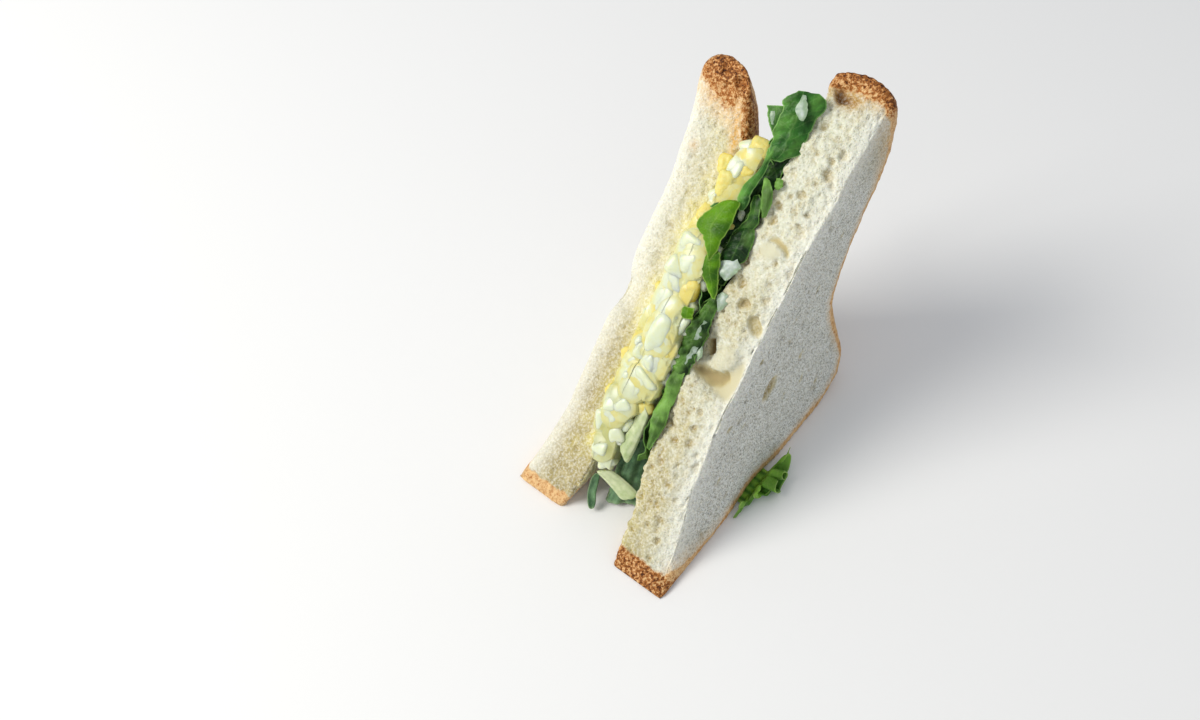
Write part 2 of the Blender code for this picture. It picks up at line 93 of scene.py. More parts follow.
def ease(low: float, high: float, value: Array | float) -> Array:
    """0 at low, 1 at high, level at both ends; low may be the larger one."""
    t = held((value - low) / (high - low))
    return t * t * (3 - 2 * t)


def bump(middle: float, width: float, value: Array | float) -> Array:
    """1 at the middle, falling to 0 like a bell of that width."""
    return np.exp(-(((value - middle) / width) ** 2))


def inside(points: Array, outline: Array) -> Array:
    """Distance from a closed outline in the plane: above 0 inside it, below 0 outside.

    Args:
        points: (n, 2) places.
        outline: (m, 2) corners.

    Returns:
        (n,) distances.
    """
    away, odd = np.full(len(points), np.inf), np.zeros(len(points), dtype=bool)
    for corner, side in zip(outline, np.roll(outline, -1, axis=0) - outline):
        gap = points - corner
        share = held(gap @ side / (side @ side))
        away = np.minimum(away, np.linalg.norm(gap - share[:, None] * side, axis=1))
        level = (gap[:, 1] < 0) != (gap[:, 1] < side[1])
        odd ^= level & ((gap[:, 0] * side[1] < gap[:, 1] * side[0]) == (side[1] > 0))
    return np.where(odd, away, -away)


def lattice(whole: Array, seed: int) -> Array:
    """Random numbers from 0 to 1 for whole-number places: primes mix them, shifts spread them.

    Args:
        whole: (n, 3) whole numbers.
        seed: Another seed gives other numbers.

    Returns:
        (n,) numbers, the same for the same place.
    """
    mixed = whole[:, 0] * 374761393 + whole[:, 1] * 668265263 + whole[:, 2] * 974634777
    mixed = (mixed + seed * 1274126177) & 0xFFFFFFFF
    mixed = ((mixed ^ (mixed >> 13)) * 1274126177) & 0xFFFFFFFF
    mixed = ((mixed ^ (mixed >> 16)) * 668265263) & 0xFFFFFFFF
    return ((mixed ^ (mixed >> 15)) & 0xFFFF) / 65535.0


def waves(points: Array, size: float, seed: int, octaves: int = 1) -> Array:
    """Smooth noise from -1 to 1: lattice numbers eased between, with finer halves added.

    Args:
        points: (n, 3) places in mm.
        size: Spacing of the coarsest lattice in mm.
        seed: Another seed gives other noise.
        octaves: How many lattices are added, each half as large and half as strong.

    Returns:
        (n,) numbers.
    """
    total, weight = np.zeros(len(points)), 0.0
    for octave in range(octaves):
        scaled = points * (2**octave / size)
        whole = np.floor(scaled).astype(np.int64)
        part = scaled - whole
        part = part * part * (3 - 2 * part)
        value = np.zeros(len(points))
        for corner in np.ndindex(2, 2, 2):
            share = np.prod(np.where(corner, part, 1 - part), axis=1)
            value += share * lattice(whole + corner, seed + octave)
        total += (2 * value - 1) * 0.5**octave
        weight += 0.5**octave
    return total / weight


def cells(points: Array, size: float, seed: int) -> tuple[Array, Array]:
    """Distance, in cells, to the nearest of randomly placed points, and that point's number.

    Args:
        points: (n, 3) places in mm.
        size: Spacing of the random points in mm.
        seed: Another seed gives other points.

    Returns:
        The distances, and a random number from 0 to 1 for each nearest point.
    """
    scaled = points / size
    whole = np.floor(scaled).astype(np.int64)
    nearest, number = np.full(len(points), 9.0), np.zeros(len(points))
    for step in np.ndindex(3, 3, 3):
        cell = whole + np.array(step) - 1
        jitter = np.stack([lattice(cell, seed + axis) for axis in range(3)], axis=1)
        away = np.linalg.norm(cell + jitter - scaled, axis=1)
        closer = away < nearest
        nearest = np.where(closer, away, nearest)
        number = np.where(closer, lattice(cell, seed + 7), number)
    return nearest, number


def smooth_curve(knots: tuple[Pair, ...] | Array, at: Array) -> Array:
    """Points along a curve through the knots: cubic pieces with matching slopes.

    Args:
        knots: The places that it goes through.
        at: (n,) shares of its length, from 0 to 1.

    Returns:
        (n, d) points.
    """
    spots = np.asarray(knots, dtype=float)
    chords = np.linalg.norm(np.diff(spots, axis=0), axis=1)
    place = np.concatenate(([0.0], np.cumsum(chords))) / chords.sum()
    slope = np.gradient(spots, place, axis=0)
    first = np.clip(np.searchsorted(place, at, side="right") - 1, 0, len(place) - 2)
    gap = (place[first + 1] - place[first])[:, None]
    t = (at - place[first])[:, None] / gap
    start = (2 * t**3 - 3 * t**2 + 1) * spots[first] + (t**3 - 2 * t**2 + t) * gap * slope[first]
    end = (3 * t**2 - 2 * t**3) * spots[first + 1] + (t**3 - t**2) * gap * slope[first + 1]
    return start + end


# Meshes


@dataclass
class Surface:
    """A mesh as arrays: points in mm, four-cornered faces, and numbers kept at its points."""

    points: Array
    faces: Array
    values: dict[str, Array] = field(default_factory=dict)

    def normals(self) -> Array:
        """Unit normals at the points, each the sum of its faces' normals.

        Returns:
            (n, 3) normals.
        """
        corner = self.points[self.faces]
        across = np.cross(corner[:, 2] - corner[:, 0], corner[:, 3] - corner[:, 1])
        total = np.zeros_like(self.points)
        for side in range(4):
            np.add.at(total, self.faces[:, side], across)
        return total / np.maximum(np.linalg.norm(total, axis=1), 1e-12)[:, None]

    def made(self, name: str, material: Material) -> Object:
        """The surface as a smooth object, its numbers as float attributes on the points.

        Args:
            name: The object's name.
            material: The material of every face.

        Returns:
            The linked object, at the origin, with its place in its mesh.
        """
        mesh = bpy.data.meshes.new(name)
        mesh.vertices.add(len(self.points))
        mesh.vertices.foreach_set("co", ((self.points - MIDDLE) * MM).astype(np.float32).ravel())
        mesh.loops.add(self.faces.size)
        mesh.loops.foreach_set("vertex_index", self.faces.astype(np.int32).ravel())
        mesh.polygons.add(len(self.faces))
        starts = np.arange(0, self.faces.size, 4, dtype=np.int32)
        mesh.polygons.foreach_set("loop_start", starts)
        mesh.update(calc_edges=True)
        mesh.validate()
        for key, numbers in self.values.items():
            layer = mesh.attributes.new(key, "FLOAT", "POINT")
            layer.data.foreach_set("value", np.asarray(numbers, np.float32))
        mesh.materials.append(material)
        mesh.shade_smooth()
        piece = bpy.data.objects.new(name, mesh)
        bpy.context.scene.collection.objects.link(piece)
        LOG.info("%s: %d points", name, len(self.points))
        return piece


def joined(surfaces: list[Surface]) -> Surface:
    """Several surfaces as one, which keeps the numbers that all of them have.

    Args:
        surfaces: The surfaces, which share no points.

    Returns:
        The one surface.
    """
    counts = np.cumsum([0] + [len(surface.points) for surface in surfaces])
    points = np.concatenate([surface.points for surface in surfaces])
    faces = np.concatenate([s.faces + start for s, start in zip(surfaces, counts)])
    keys = set.intersection(*(set(surface.values) for surface in surfaces))
    values = {key: np.concatenate([s.values[key] for s in surfaces]) for key in sorted(keys)}
    return Surface(points, faces, values)


def melted(points: Array, faces: Array, share: Array, rounds: int) -> Array:
    """The points moved, round after round, towards the mean of the points beside them.

    Args:
        points: (n, 3) points.
        faces: (m, 4) corner numbers.
        share: (n,) how far each point moves, from 0 to 1.
        rounds: How many times.

    Returns:
        The points, whose edges have become round where the share isn't 0.
    """
    ends = faces.ravel(), np.roll(faces, -1, axis=1).ravel()
    start, end = np.concatenate(ends), np.concatenate(ends[::-1])
    count = np.bincount(start, minlength=len(points))
    for _ in range(rounds):
        mean = np.stack([np.bincount(start, points[end, axis], len(points)) / count
                         for axis in range(3)], axis=1)
        points = points + MELT_STEP * share[:, None] * (mean - points)
    return points


def grid_faces(rows: int, columns: int) -> Array:
    """Corner numbers (n, 4) of the faces of a grid of points, row after row."""
    index = np.arange(rows * columns).reshape(rows, columns)
    return np.stack((index[:-1, :-1], index[1:, :-1], index[1:, 1:], index[:-1, 1:]), -1).reshape(-1, 4)


def rim_of(rows: int, columns: int) -> Array:
    """Numbers of the points round the rim of a grid, in order."""
    index = np.arange(rows * columns).reshape(rows, columns)
    return np.concatenate((index[:-1, 0], index[-1, :-1], index[:0:-1, -1], index[0, :0:-1]))


def leaf_solid(points: Array, shape: tuple[int, int], thickness: Array,
               values: dict[str, Array]) -> Surface:
    """A closed thin solid about a sheet: two copies of its grid, half a thickness to each side.

    Args:
        points: (rows * columns, 3) points of the sheet in mm.
        shape: Rows and columns.
        thickness: Thickness in mm at each point.
        values: Numbers at each point, copied to both sides.

    Returns:
        The closed surface, with faces round the rim between the two sides.
    """
    count, faces = len(points), grid_faces(*shape)
    step = Surface(points, faces).normals() * (thickness[:, None] / 2)
    rim = rim_of(*shape)
    after = np.roll(rim, -1)
    sides = np.stack((after, rim, rim + count, after + count), axis=1)
    faces = np.concatenate((faces, faces[:, ::-1] + count, sides))
    both = {key: np.tile(numbers, 2) for key, numbers in values.items()}
    return Surface(np.concatenate((points + step, points - step)), faces, both)


def unit_grid(rows: int, columns: int) -> list[Array]:
    """Numbers from 0 to 1 at a grid's points, row after row: down it, and along the rows."""
    grids = np.meshgrid(np.linspace(0, 1, rows), np.linspace(0, 1, columns), indexing="ij")
    return [grid.ravel() for grid in grids]


def unit_ball(cuts: int) -> tuple[Array, Array]:
    """Directions over a ball and faces between them, from a cube's grid pushed out to the ball.

    Args:
        cuts: Cells along one side of the cube.

    Returns:
        (n, 3) directions and (m, 4) corner numbers.
    """
    steps = np.tan(np.linspace(-1, 1, cuts + 1) * math.pi / 4)
    a, b = np.meshgrid(steps, steps, indexing="ij")
    one = np.ones_like(a)
    sides = [np.stack(np.roll((one, a, b), turn, axis=0), axis=-1) for turn in range(3)]
    sides += [np.stack(np.roll((-one, b, a), turn, axis=0), axis=-1) for turn in range(3)]
    points = np.concatenate([side.reshape(-1, 3) for side in sides])
    faces = np.concatenate([grid_faces(cuts + 1, cuts + 1) + k * (cuts + 1) ** 2 for k in range(6)])
    kept, index = np.unique(np.round(points, 6), axis=0, return_inverse=True)
    return unit(kept), index.reshape(-1)[faces]


# Bread


@dataclass(frozen=True)
class Hollow:
    """A hollow inside an outline on the cut, or a lump where its depth is below 0.

    The outline's corners are (place in thousandths of the cut, share through the slice).
    """

    outline: tuple[Pair, ...]
    depth: float
    wall: float
    # The tan colour inside it, which is partly painted shade in the deep hollows and grooves.
    tan: float = 0.0
    smooth: float = 0.0

    def share(self, at: Array, through: Array, bend: Array) -> Array:
        """How far inside the hollow's wall points are: 0 outside it, 1 past it.

        Args:
            at: (n,) places along the cut.
            through: (n,) shares through the slice.
            bend: (n,) mm by which the outline is bent there.

        Returns:
            (n,) shares.
        """
        size = np.array((CUT_LENGTH, SLICE_THICKNESS))
        points = np.stack((at, through), axis=1) * size + bend[:, None]
        outline = np.array(self.outline) / (1000, 1) * size
        return ease(-0.3 * self.wall, 0.7 * self.wall, inside(points, outline))


def rounded(radius: Array | float, away: Array) -> Array:
    """What rounding an edge off takes away: 0.29 r (1 - d / r) squared for a distance d.

    On the edge itself, whose normal is half way between its sides' normals, it is 0.41 r.
    """
    part = held(1 - away / np.maximum(radius, ON_EDGE)) ** 2
    return np.where(away < ON_EDGE, 0.414, 0.293) * radius * part


@dataclass
class BreadSlice:
    """A half slice: its face is stretched between the cut, the base and the upright crust."""

    node: str
    slot: str
    cut_knots: tuple
    leg_knots: tuple
    hollows: tuple
    arch: Triple
    phase: float
    seed: int
    cut_pits: tuple = ()
    cut_hollows: tuple[Hollow, ...] = ()
    face_pits: tuple = ()
    fillets: Triple = (2.0, 1.5, 1.5)
    crown_fillet: float = 0.0
    corners: Pair = (1.6, 2.6)
    melt: tuple[float, int, float] = (0.93, 16, 1.0)
    outer_side: float = 0.0
    grain: float = 1.0
    swell: float = 0.45
    holes: tuple = ((5.2, 0.34, 1.5, 3), (3.0, 0.6, 1.0, 4), (1.9, 0.85, 0.7, 5))
    side_cells: int = 168
    layers: int = 42
    bulge_out: float = 3.2
    heart: Pair = (70.0, 52.0)
    spread: float = 60.0
    tear_reach: float = 0.15
    tear_out: float = 0.35

    def face_y(self, z: Array, through: Array | float) -> Array:
        """Y of the slice at height z, from its face nearest the viewer (0) to the other (1)."""
        raise NotImplementedError

    def tear(self, at: Array, through: Array) -> Array:
        """How far the torn cut stands out: three sine ripples along it, less its hollows.

        Args:
            at: (n,) places along the cut.
            through: (n,) shares through the slice.

        Returns:
            (n,) mm.
        """
        phase = self.phase
        ripple = np.sin(at * 38 + phase) + 0.8 * np.sin(at * 67 + 2 * phase)
        ripple = ripple + 0.6 * np.sin(at * 101 + phase)
        across = 1 + 0.5 * np.sin(through * 7 + at * 23 + phase)
        out = self.tear_out * ripple * across * ease(0.0, 0.06, at) * ease(1.0, 0.93, at)
        for place, depth_place, radius, depth in self.hollows:
            along = (at - place) * CUT_LENGTH
            side = (through - depth_place) * SLICE_THICKNESS
            out = out - depth * np.exp(-((along**2 + side**2) / radius**2) ** 1.5)
        return out

    def bulge(self, point: Array, through: Array) -> Array:
        """How far the crust stands out, by a parabola through the slice, away from its heart."""
        away = unit(point - np.array(self.heart))
        return self.bulge_out * (4 * through * (1 - through))[:, None] * away

    def between(self, curves: tuple, at: Array, through: Array) -> Array:
        """Points between a curve on the near face and one on the far face."""
        near, far = (smooth_curve(knots, at) for knots in curves)
        return blend(near, far, through[:, None])

    def cut(self, at: Array, through: Array) -> Array:
        """The long cut as (x, z): its two curves blended, bulging at the crown alone."""
        line = self.between(self.cut_knots, at, through)
        return line + self.bulge(line, through) * ease(0.93, 1.0, at)[:, None]

    def leg(self, at: Array, through: Array) -> Array:
        """The upright crust as (x, z): its two curves blended, bulging all the way."""
        line = self.between(self.leg_knots, at, through)
        return line + self.bulge(line, through)

    def base(self, at: Array, through: Array) -> Array:
        """The crust that the slice stands on: a low arch, then up round the square corner.

        Args:
            at: (n,) shares from the pointed end to the corner.
            through: (n,) shares through the slice.

        Returns:
            (n, 2) points (x, z).
        """
        zero = np.zeros_like(at)
        start, corner = self.cut(zero, through)[:, 0], self.leg(zero, through)
        x = blend(start, corner[:, 0], at)
        rise = corner[:, 1] * ease(0.86, 1.09, at) / ease(0.86, 1.09, 1.0)
        middle, half, height = self.arch
        hump = height * held(1 - ((x - middle) / half) ** 2) ** 2
        return np.stack((x, rise + hump), axis=1)

    def flat(self, u: Array, v: Array, through: Array) -> Array:
        """Points of the slice: the sum of both pairs of side curves less their corners, torn.

        Args:
            u: (n,) shares from the low half of the cut to the upright crust.
            v: (n,) shares from the base to the high half of the cut.
            through: (n,) shares through the slice.

        Returns:
            (n, 2) points (x, z).
        """
        zero = np.zeros_like(u)
        tip, middle, crown = (self.cut(zero + at, through) for at in (0.0, 0.5, 1.0))
        corner = self.leg(zero, through)
        low, high = self.cut(v * 0.5, through), self.cut(0.5 + u * 0.5, through)
        base, leg = self.base(u, through), self.leg(v, through)
        along = (u + v) / 2
        u, v = u[:, None], v[:, None]
        flat = (1 - v) * base + v * high + (1 - u) * low + u * leg
        flat = flat - (1 - u) * ((1 - v) * tip + v * middle) - u * ((1 - v) * corner + v * crown)
        from_cut = u * (1 - v) / np.maximum(u + 1 - v, 1e-6)
        flat = flat + self.spread * from_cut * (1 - u) * v * INTO_CUT
        tear = self.tear(along, through)[:, None] * np.exp(-from_cut / self.tear_reach)
        return flat - tear * INTO_CUT

    def grid(self) -> tuple[Array, Array, Array, Array]:
        """The closed skin: both broad faces are square grids, joined by layers of their outline.

        Returns:
            u, v and through of every point, and the faces.
        """
        n, layers = self.side_cells, self.layers
        u, v = unit_grid(n + 1, n + 1)
        ring = rim_of(n + 1, n + 1)
        count = len(u)
        shares = np.linspace(0, 1, layers + 1)[1:-1]
        rings_u, rings_v = np.tile(u[ring], layers - 1), np.tile(v[ring], layers - 1)
        rows = [ring]
        rows += [2 * count + k * len(ring) + np.arange(len(ring)) for k in range(layers - 1)]
        rows.append(ring + count)
        walls = [np.stack((np.roll(low, -1), low, high, np.roll(high, -1)), axis=1)
                 for low, high in zip(rows[:-1], rows[1:])]
        sheet = grid_faces(n + 1, n + 1)
        faces = np.concatenate((sheet, sheet[:, ::-1] + count, *walls))
        through = np.concatenate((np.zeros(count), np.ones(count), np.repeat(shares, len(ring))))
        return np.concatenate((u, u, rings_u)), np.concatenate((v, v, rings_v)), through, faces

    def away_from(self, line: Callable[[Array, Array], Array], through: Array, flat: Array
                  ) -> Array:
        """Distance in the slice's plane to a line: the least over points along it.

        Args:
            line: Gives points (x, z) for places along it and shares through the slice.
            through: (n,) shares through the slice.
            flat: (n, 2) points (x, z).

        Returns:
            (n,) mm.
        """
        steps = np.linspace(0, 1, 120)
        away = np.full(len(flat), 99.0)
        for share in np.unique(through):
            here = through == share
            gaps = flat[here][:, None, :] - line(steps, np.full_like(steps, share))[None, :, :]
            away[here] = np.sqrt((gaps**2).sum(axis=2).min(axis=1))
        return away

    def fillet(self, at: Array, through: Array, crust_away: Array, cut_away: Array,
               wall: Array, on_cut: Array) -> Array:
        """How far the skin is drawn in beside the slice's edges, which rounds them off.

        The edges along the broad faces and the ones that cross the slice at both ends of the
        cut each have a radius, and what they draw in is added up.

        Args:
            at: (n,) places along the cut.
            through: (n,) shares through the slice.
            crust_away: (n,) mm to the crust.
            cut_away: (n,) mm to the cut.
            wall: Which points lie between the broad faces.
            on_cut: Which of them lie on the cut.

        Returns:
            (n,) mm.
        """
        crust, near, far = self.fillets
        top = self.crown_fillet * ease(0.72, 0.97, at) * (through < 0.5)
        crust, cut = crust + top, np.where(through < 0.5, near, far) + 0.4 * top
        edge = np.minimum(through, 1 - through) * SLICE_THICKNESS
        tip, crown = self.corners
        corner = blend(tip, crown, (at > 0.5) * 1.0)
        cut = blend(cut, crust, ease(7.0, 0.0, crust_away))
        along = rounded(np.where(on_cut, cut, crust), edge)
        across = rounded(corner, np.where(on_cut, crust_away, cut_away))
        flat = np.maximum(rounded(crust, crust_away), rounded(cut, cut_away))
        return np.where(wall, along + across, flat)

    def crumb_relief(self, points: Array, open_crumb: Array) -> Array:
        """Depth of the holes in the crumb, larger and closer where it is cut open.

        Holes of several sizes lie about random points, each a bowl with steep sides, and
        waves bend their rims.

        Args:
            points: (n, 3) places in mm.
            open_crumb: (n,) how open the crumb is there, from 0 to 1.

        Returns:
            (n,) mm.
        """
        depth, wide = np.zeros(len(points)), blend(0.6, 1.0, open_crumb)
        bent = points + 0.9 * np.stack([waves(points, 1.7, 31 + k, 2) for k in range(3)], axis=1)
        for size, share, bowl, seed in self.holes:
            away, number = cells(bent, size, self.seed * 10 + seed)
            radius = 0.20 + 0.28 * ((number * 7.31) % 1.0)
            hole = ease(1.0, 0.3, away / radius) * (number < share * wide)
            depth = np.maximum(depth, bowl * wide * hole)
        return depth

    def pits_on_cut(self, at: Array, through: Array, bend: Array) -> Array:
        """Depth of the listed pits of the cut: round bowls.

        Args:
            at: (n,) places along the cut.
            through: (n,) shares through the slice.
            bend: (n,) mm by which their rims are bent.

        Returns:
            (n,) mm.
        """
        depth = np.zeros(len(at))
        for place, share, radius, deep in self.cut_pits:
            away = np.hypot((at - place) * CUT_LENGTH, (through - share) * SLICE_THICKNESS)
            depth = np.maximum(depth, deep * ease(1.15, 0.35, (away + bend) / radius))
        return depth

    def pits_on_face(self, points: Array) -> Array:
        """Depth of the listed pits of the broad face: ovals about places in (x, z).

        Args:
            points: (n, 3) places in mm.

        Returns:
            (n,) mm.
        """
        depth = np.zeros(len(points))
        for x, z, length, width, turn, deep in self.face_pits:
            dx, dz = points[:, 0] - x, points[:, 2] - z
            along = (dx * math.cos(turn) + dz * math.sin(turn)) / length
            side = (dz * math.cos(turn) - dx * math.sin(turn)) / width
            depth = np.maximum(depth, deep * ease(1.15, 0.4, np.hypot(along, side)))
        return depth

    def marks(self, at: Array, through: Array, points: Array, cut_wall: Array) -> dict[str, Array]:
        """Crust, toast, stain, gold, khaki with painted shade, worn, and painted shade of this slice's
        points, from 0 to 1.
        """
        raise NotImplementedError

    def hollowed(self, at: Array, through: Array, points: Array) -> tuple[Array, Array, Array]:
        """The outlined hollows of the cut, one laid over the other.

        Args:
            at: (n,) places along the cut.
            through: (n,) shares through the slice.
            points: (n, 3) places in mm.

        Returns:
            Their depth in mm, how tan they are, which is partly painted shade, and how smooth they are,
            from 0 to 1.
        """
        depth, tan, smooth = (np.zeros(len(at)) for _ in range(3))
        bend = waves(points, 1.8, self.seed + 64, 2)
        for hollow in self.cut_hollows:
            share = hollow.share(at, through, bend * blend(1.1, 0.4, hollow.smooth))
            depth = depth + hollow.depth * share
            tan = blend(tan, hollow.tan, share)
            smooth = np.maximum(smooth, hollow.smooth * share)
        return depth, tan, smooth

    def build(self, material: Material) -> Object:
        """The whole slice with its crumb and crust, replacing its plain solid.

        Args:
            material: The bread material, which reads the numbers that this makes.

        Returns:
            The finished object.
        """
        u, v, through, faces = self.grid()
        flat = self.flat(u, v, through)
        z = np.maximum(flat[:, 1], 0.0)
        points = np.stack((flat[:, 0], self.face_y(z, through), z), axis=1)
        at = (u + v) / 2
        wall = (through > 0) & (through < 1)
        on_cut = ((u <= 0) | (v >= 1)) & wall
        crust_away = np.minimum(self.away_from(self.base, through, flat),
                                self.away_from(self.leg, through, flat))
        crust_away = np.where((v <= 0) | (u >= 1), 0.0, crust_away)
        cut_away = self.away_from(self.cut, through, flat)
        cut_away = np.where((u <= 0) | (v >= 1), 0.0, cut_away)
        from_cut = u * (1 - v) / np.maximum(u + 1 - v, 1e-6)
        cut_wall = np.where(on_cut, 1.0, 0.8 * np.exp(-from_cut / 0.03))
        marks = self.marks(at, through, points, cut_wall)
        ragged = 0.5 * waves(points, 2.2, self.seed + 60, 2)
        skin = blend(2.6, 4.4, ease(0.80, 0.97, at)) + 0.7 * waves(points, 14.0, self.seed + 61)
        skin = skin + 2.0 * ease(0.14, 0.03, at)
        crust = ease(skin + 0.9, skin - 0.9, crust_away + 1.3 * ragged)
        crust = np.maximum(crust, marks.pop("crust"))
        hollow, tan, smooth = self.hollowed(at, through, points)
        hollow, tan = hollow * on_cut, tan * on_cut
        relief = self.crumb_relief(points, cut_wall)
        relief = relief * (1 - 0.6 * crust) * (1 - smooth * on_cut)
        bend = 1.1 * waves(points, 1.6, self.seed + 66, 2)
        named = np.where(on_cut, self.pits_on_cut(at, through, bend), 0.0)
        named = named + np.where(through <= 0, self.pits_on_face(points), 0.0)
        on_floor = ease(1.6, 0.2, points[:, 2]) * ((v <= 0) | (crust_away < 0.6))
        away, number = cells(points, 2.1, self.seed + 90)
        grains = (0.45 + 0.55 * number) * ease(0.75, 0.1, away) - 0.3
        rough = self.grain * (0.6 * waves(points, 1.5, self.seed + 62, 2) + 0.45 * grains)
        rough = rough + 0.55 * self.grain * waves(points, 3.8, self.seed + 67, 2) * cut_wall
        rough = rough * blend(0.55, 1.0, cut_wall) * (1 - 0.35 * crust) * (1 - 0.8 * smooth * on_cut)
        edge = np.minimum(through, 1 - through) * SLICE_THICKNESS
        torn = 0.9 * waves(points, 3.4, self.seed + 63, 2) * ease(3.5, 0.0, edge) * cut_wall
        outer = np.abs(through - self.outer_side) * SLICE_THICKNESS
        # A band along the edge between the cut and the broad face, which gets a painted highlight and is
        # also smoothed and rounded.
        bright = np.where(on_cut, ease(9.0, 1.0, outer), ease(11.0, 1.0, cut_away) * (outer < 0.1))
        torn = torn * (1 - 0.85 * crust) * (1 - bright) * self.grain
        rough, relief = rough * (1 - 0.7 * bright), relief * (1 - 0.5 * bright)
        outward = rough + torn + self.swell - np.maximum(relief, named) - hollow
        made = Surface(points, faces)
        drawn_in = self.fillet(at, through, crust_away, cut_away, wall, on_cut)
        made.points = made.points - made.normals() * drawn_in[:, None]
        start, rounds, share = self.melt
        edge_share = ease(0.0, 0.4, bright) * ease(0.02, 0.09, at) * ease(0.985, 0.95, at)
        soft = np.maximum(share * ease(start - 0.04, start, at), edge_share)
        soft = soft * (1 - on_floor)
        made.points = melted(made.points, faces, soft, rounds)
        made.points = made.points + made.normals() * (outward * (1 - on_floor))[:, None]
        made.points[:, 2] = np.maximum(made.points[:, 2], 0.0)
        reach = 6.5 + 9.5 * ease(0.75, 0.95, at) + 5.0 * ease(0.22, 0.05, at)
        worn = ease(reach, 0.8, crust_away + 2.0 * ragged) * (1 - cut_wall)
        # Pits in the broad face are tinted tan, which is partly painted shade.
        face_pit_tan_and_shade = np.where(through <= 0, 0.75 * np.minimum(named, 1.0), 0.0)
        made.values = {
            "crust": crust,
            # The holes' depth, which paints shade into them.
            "pore": held(np.maximum(relief / 1.1 - 0.7 * rough, named / 1.3)),
            "open_crumb": cut_wall,
            "tan": held(tan + face_pit_tan_and_shade),
            "worn": held(0.85 * worn + marks.pop("worn")),
            "bright": bright * (1 - crust),
            "smooth": smooth * on_cut,
            **marks,
        }
        piece = made.made(f"{self.node}_crumb", material)
        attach(piece, "root")
        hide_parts(self.node)
        return piece


FRONT_LEG = (
    (109.6, 3.8), (112.8, 11), (111, 20), (107.2, 32), (104, 46), (106.2, 56),
    (109.8, 68.4), (113.6, 79), (117.6, 89), (118.6, 99), (117.2, 108.2), (115.2, 117),
)


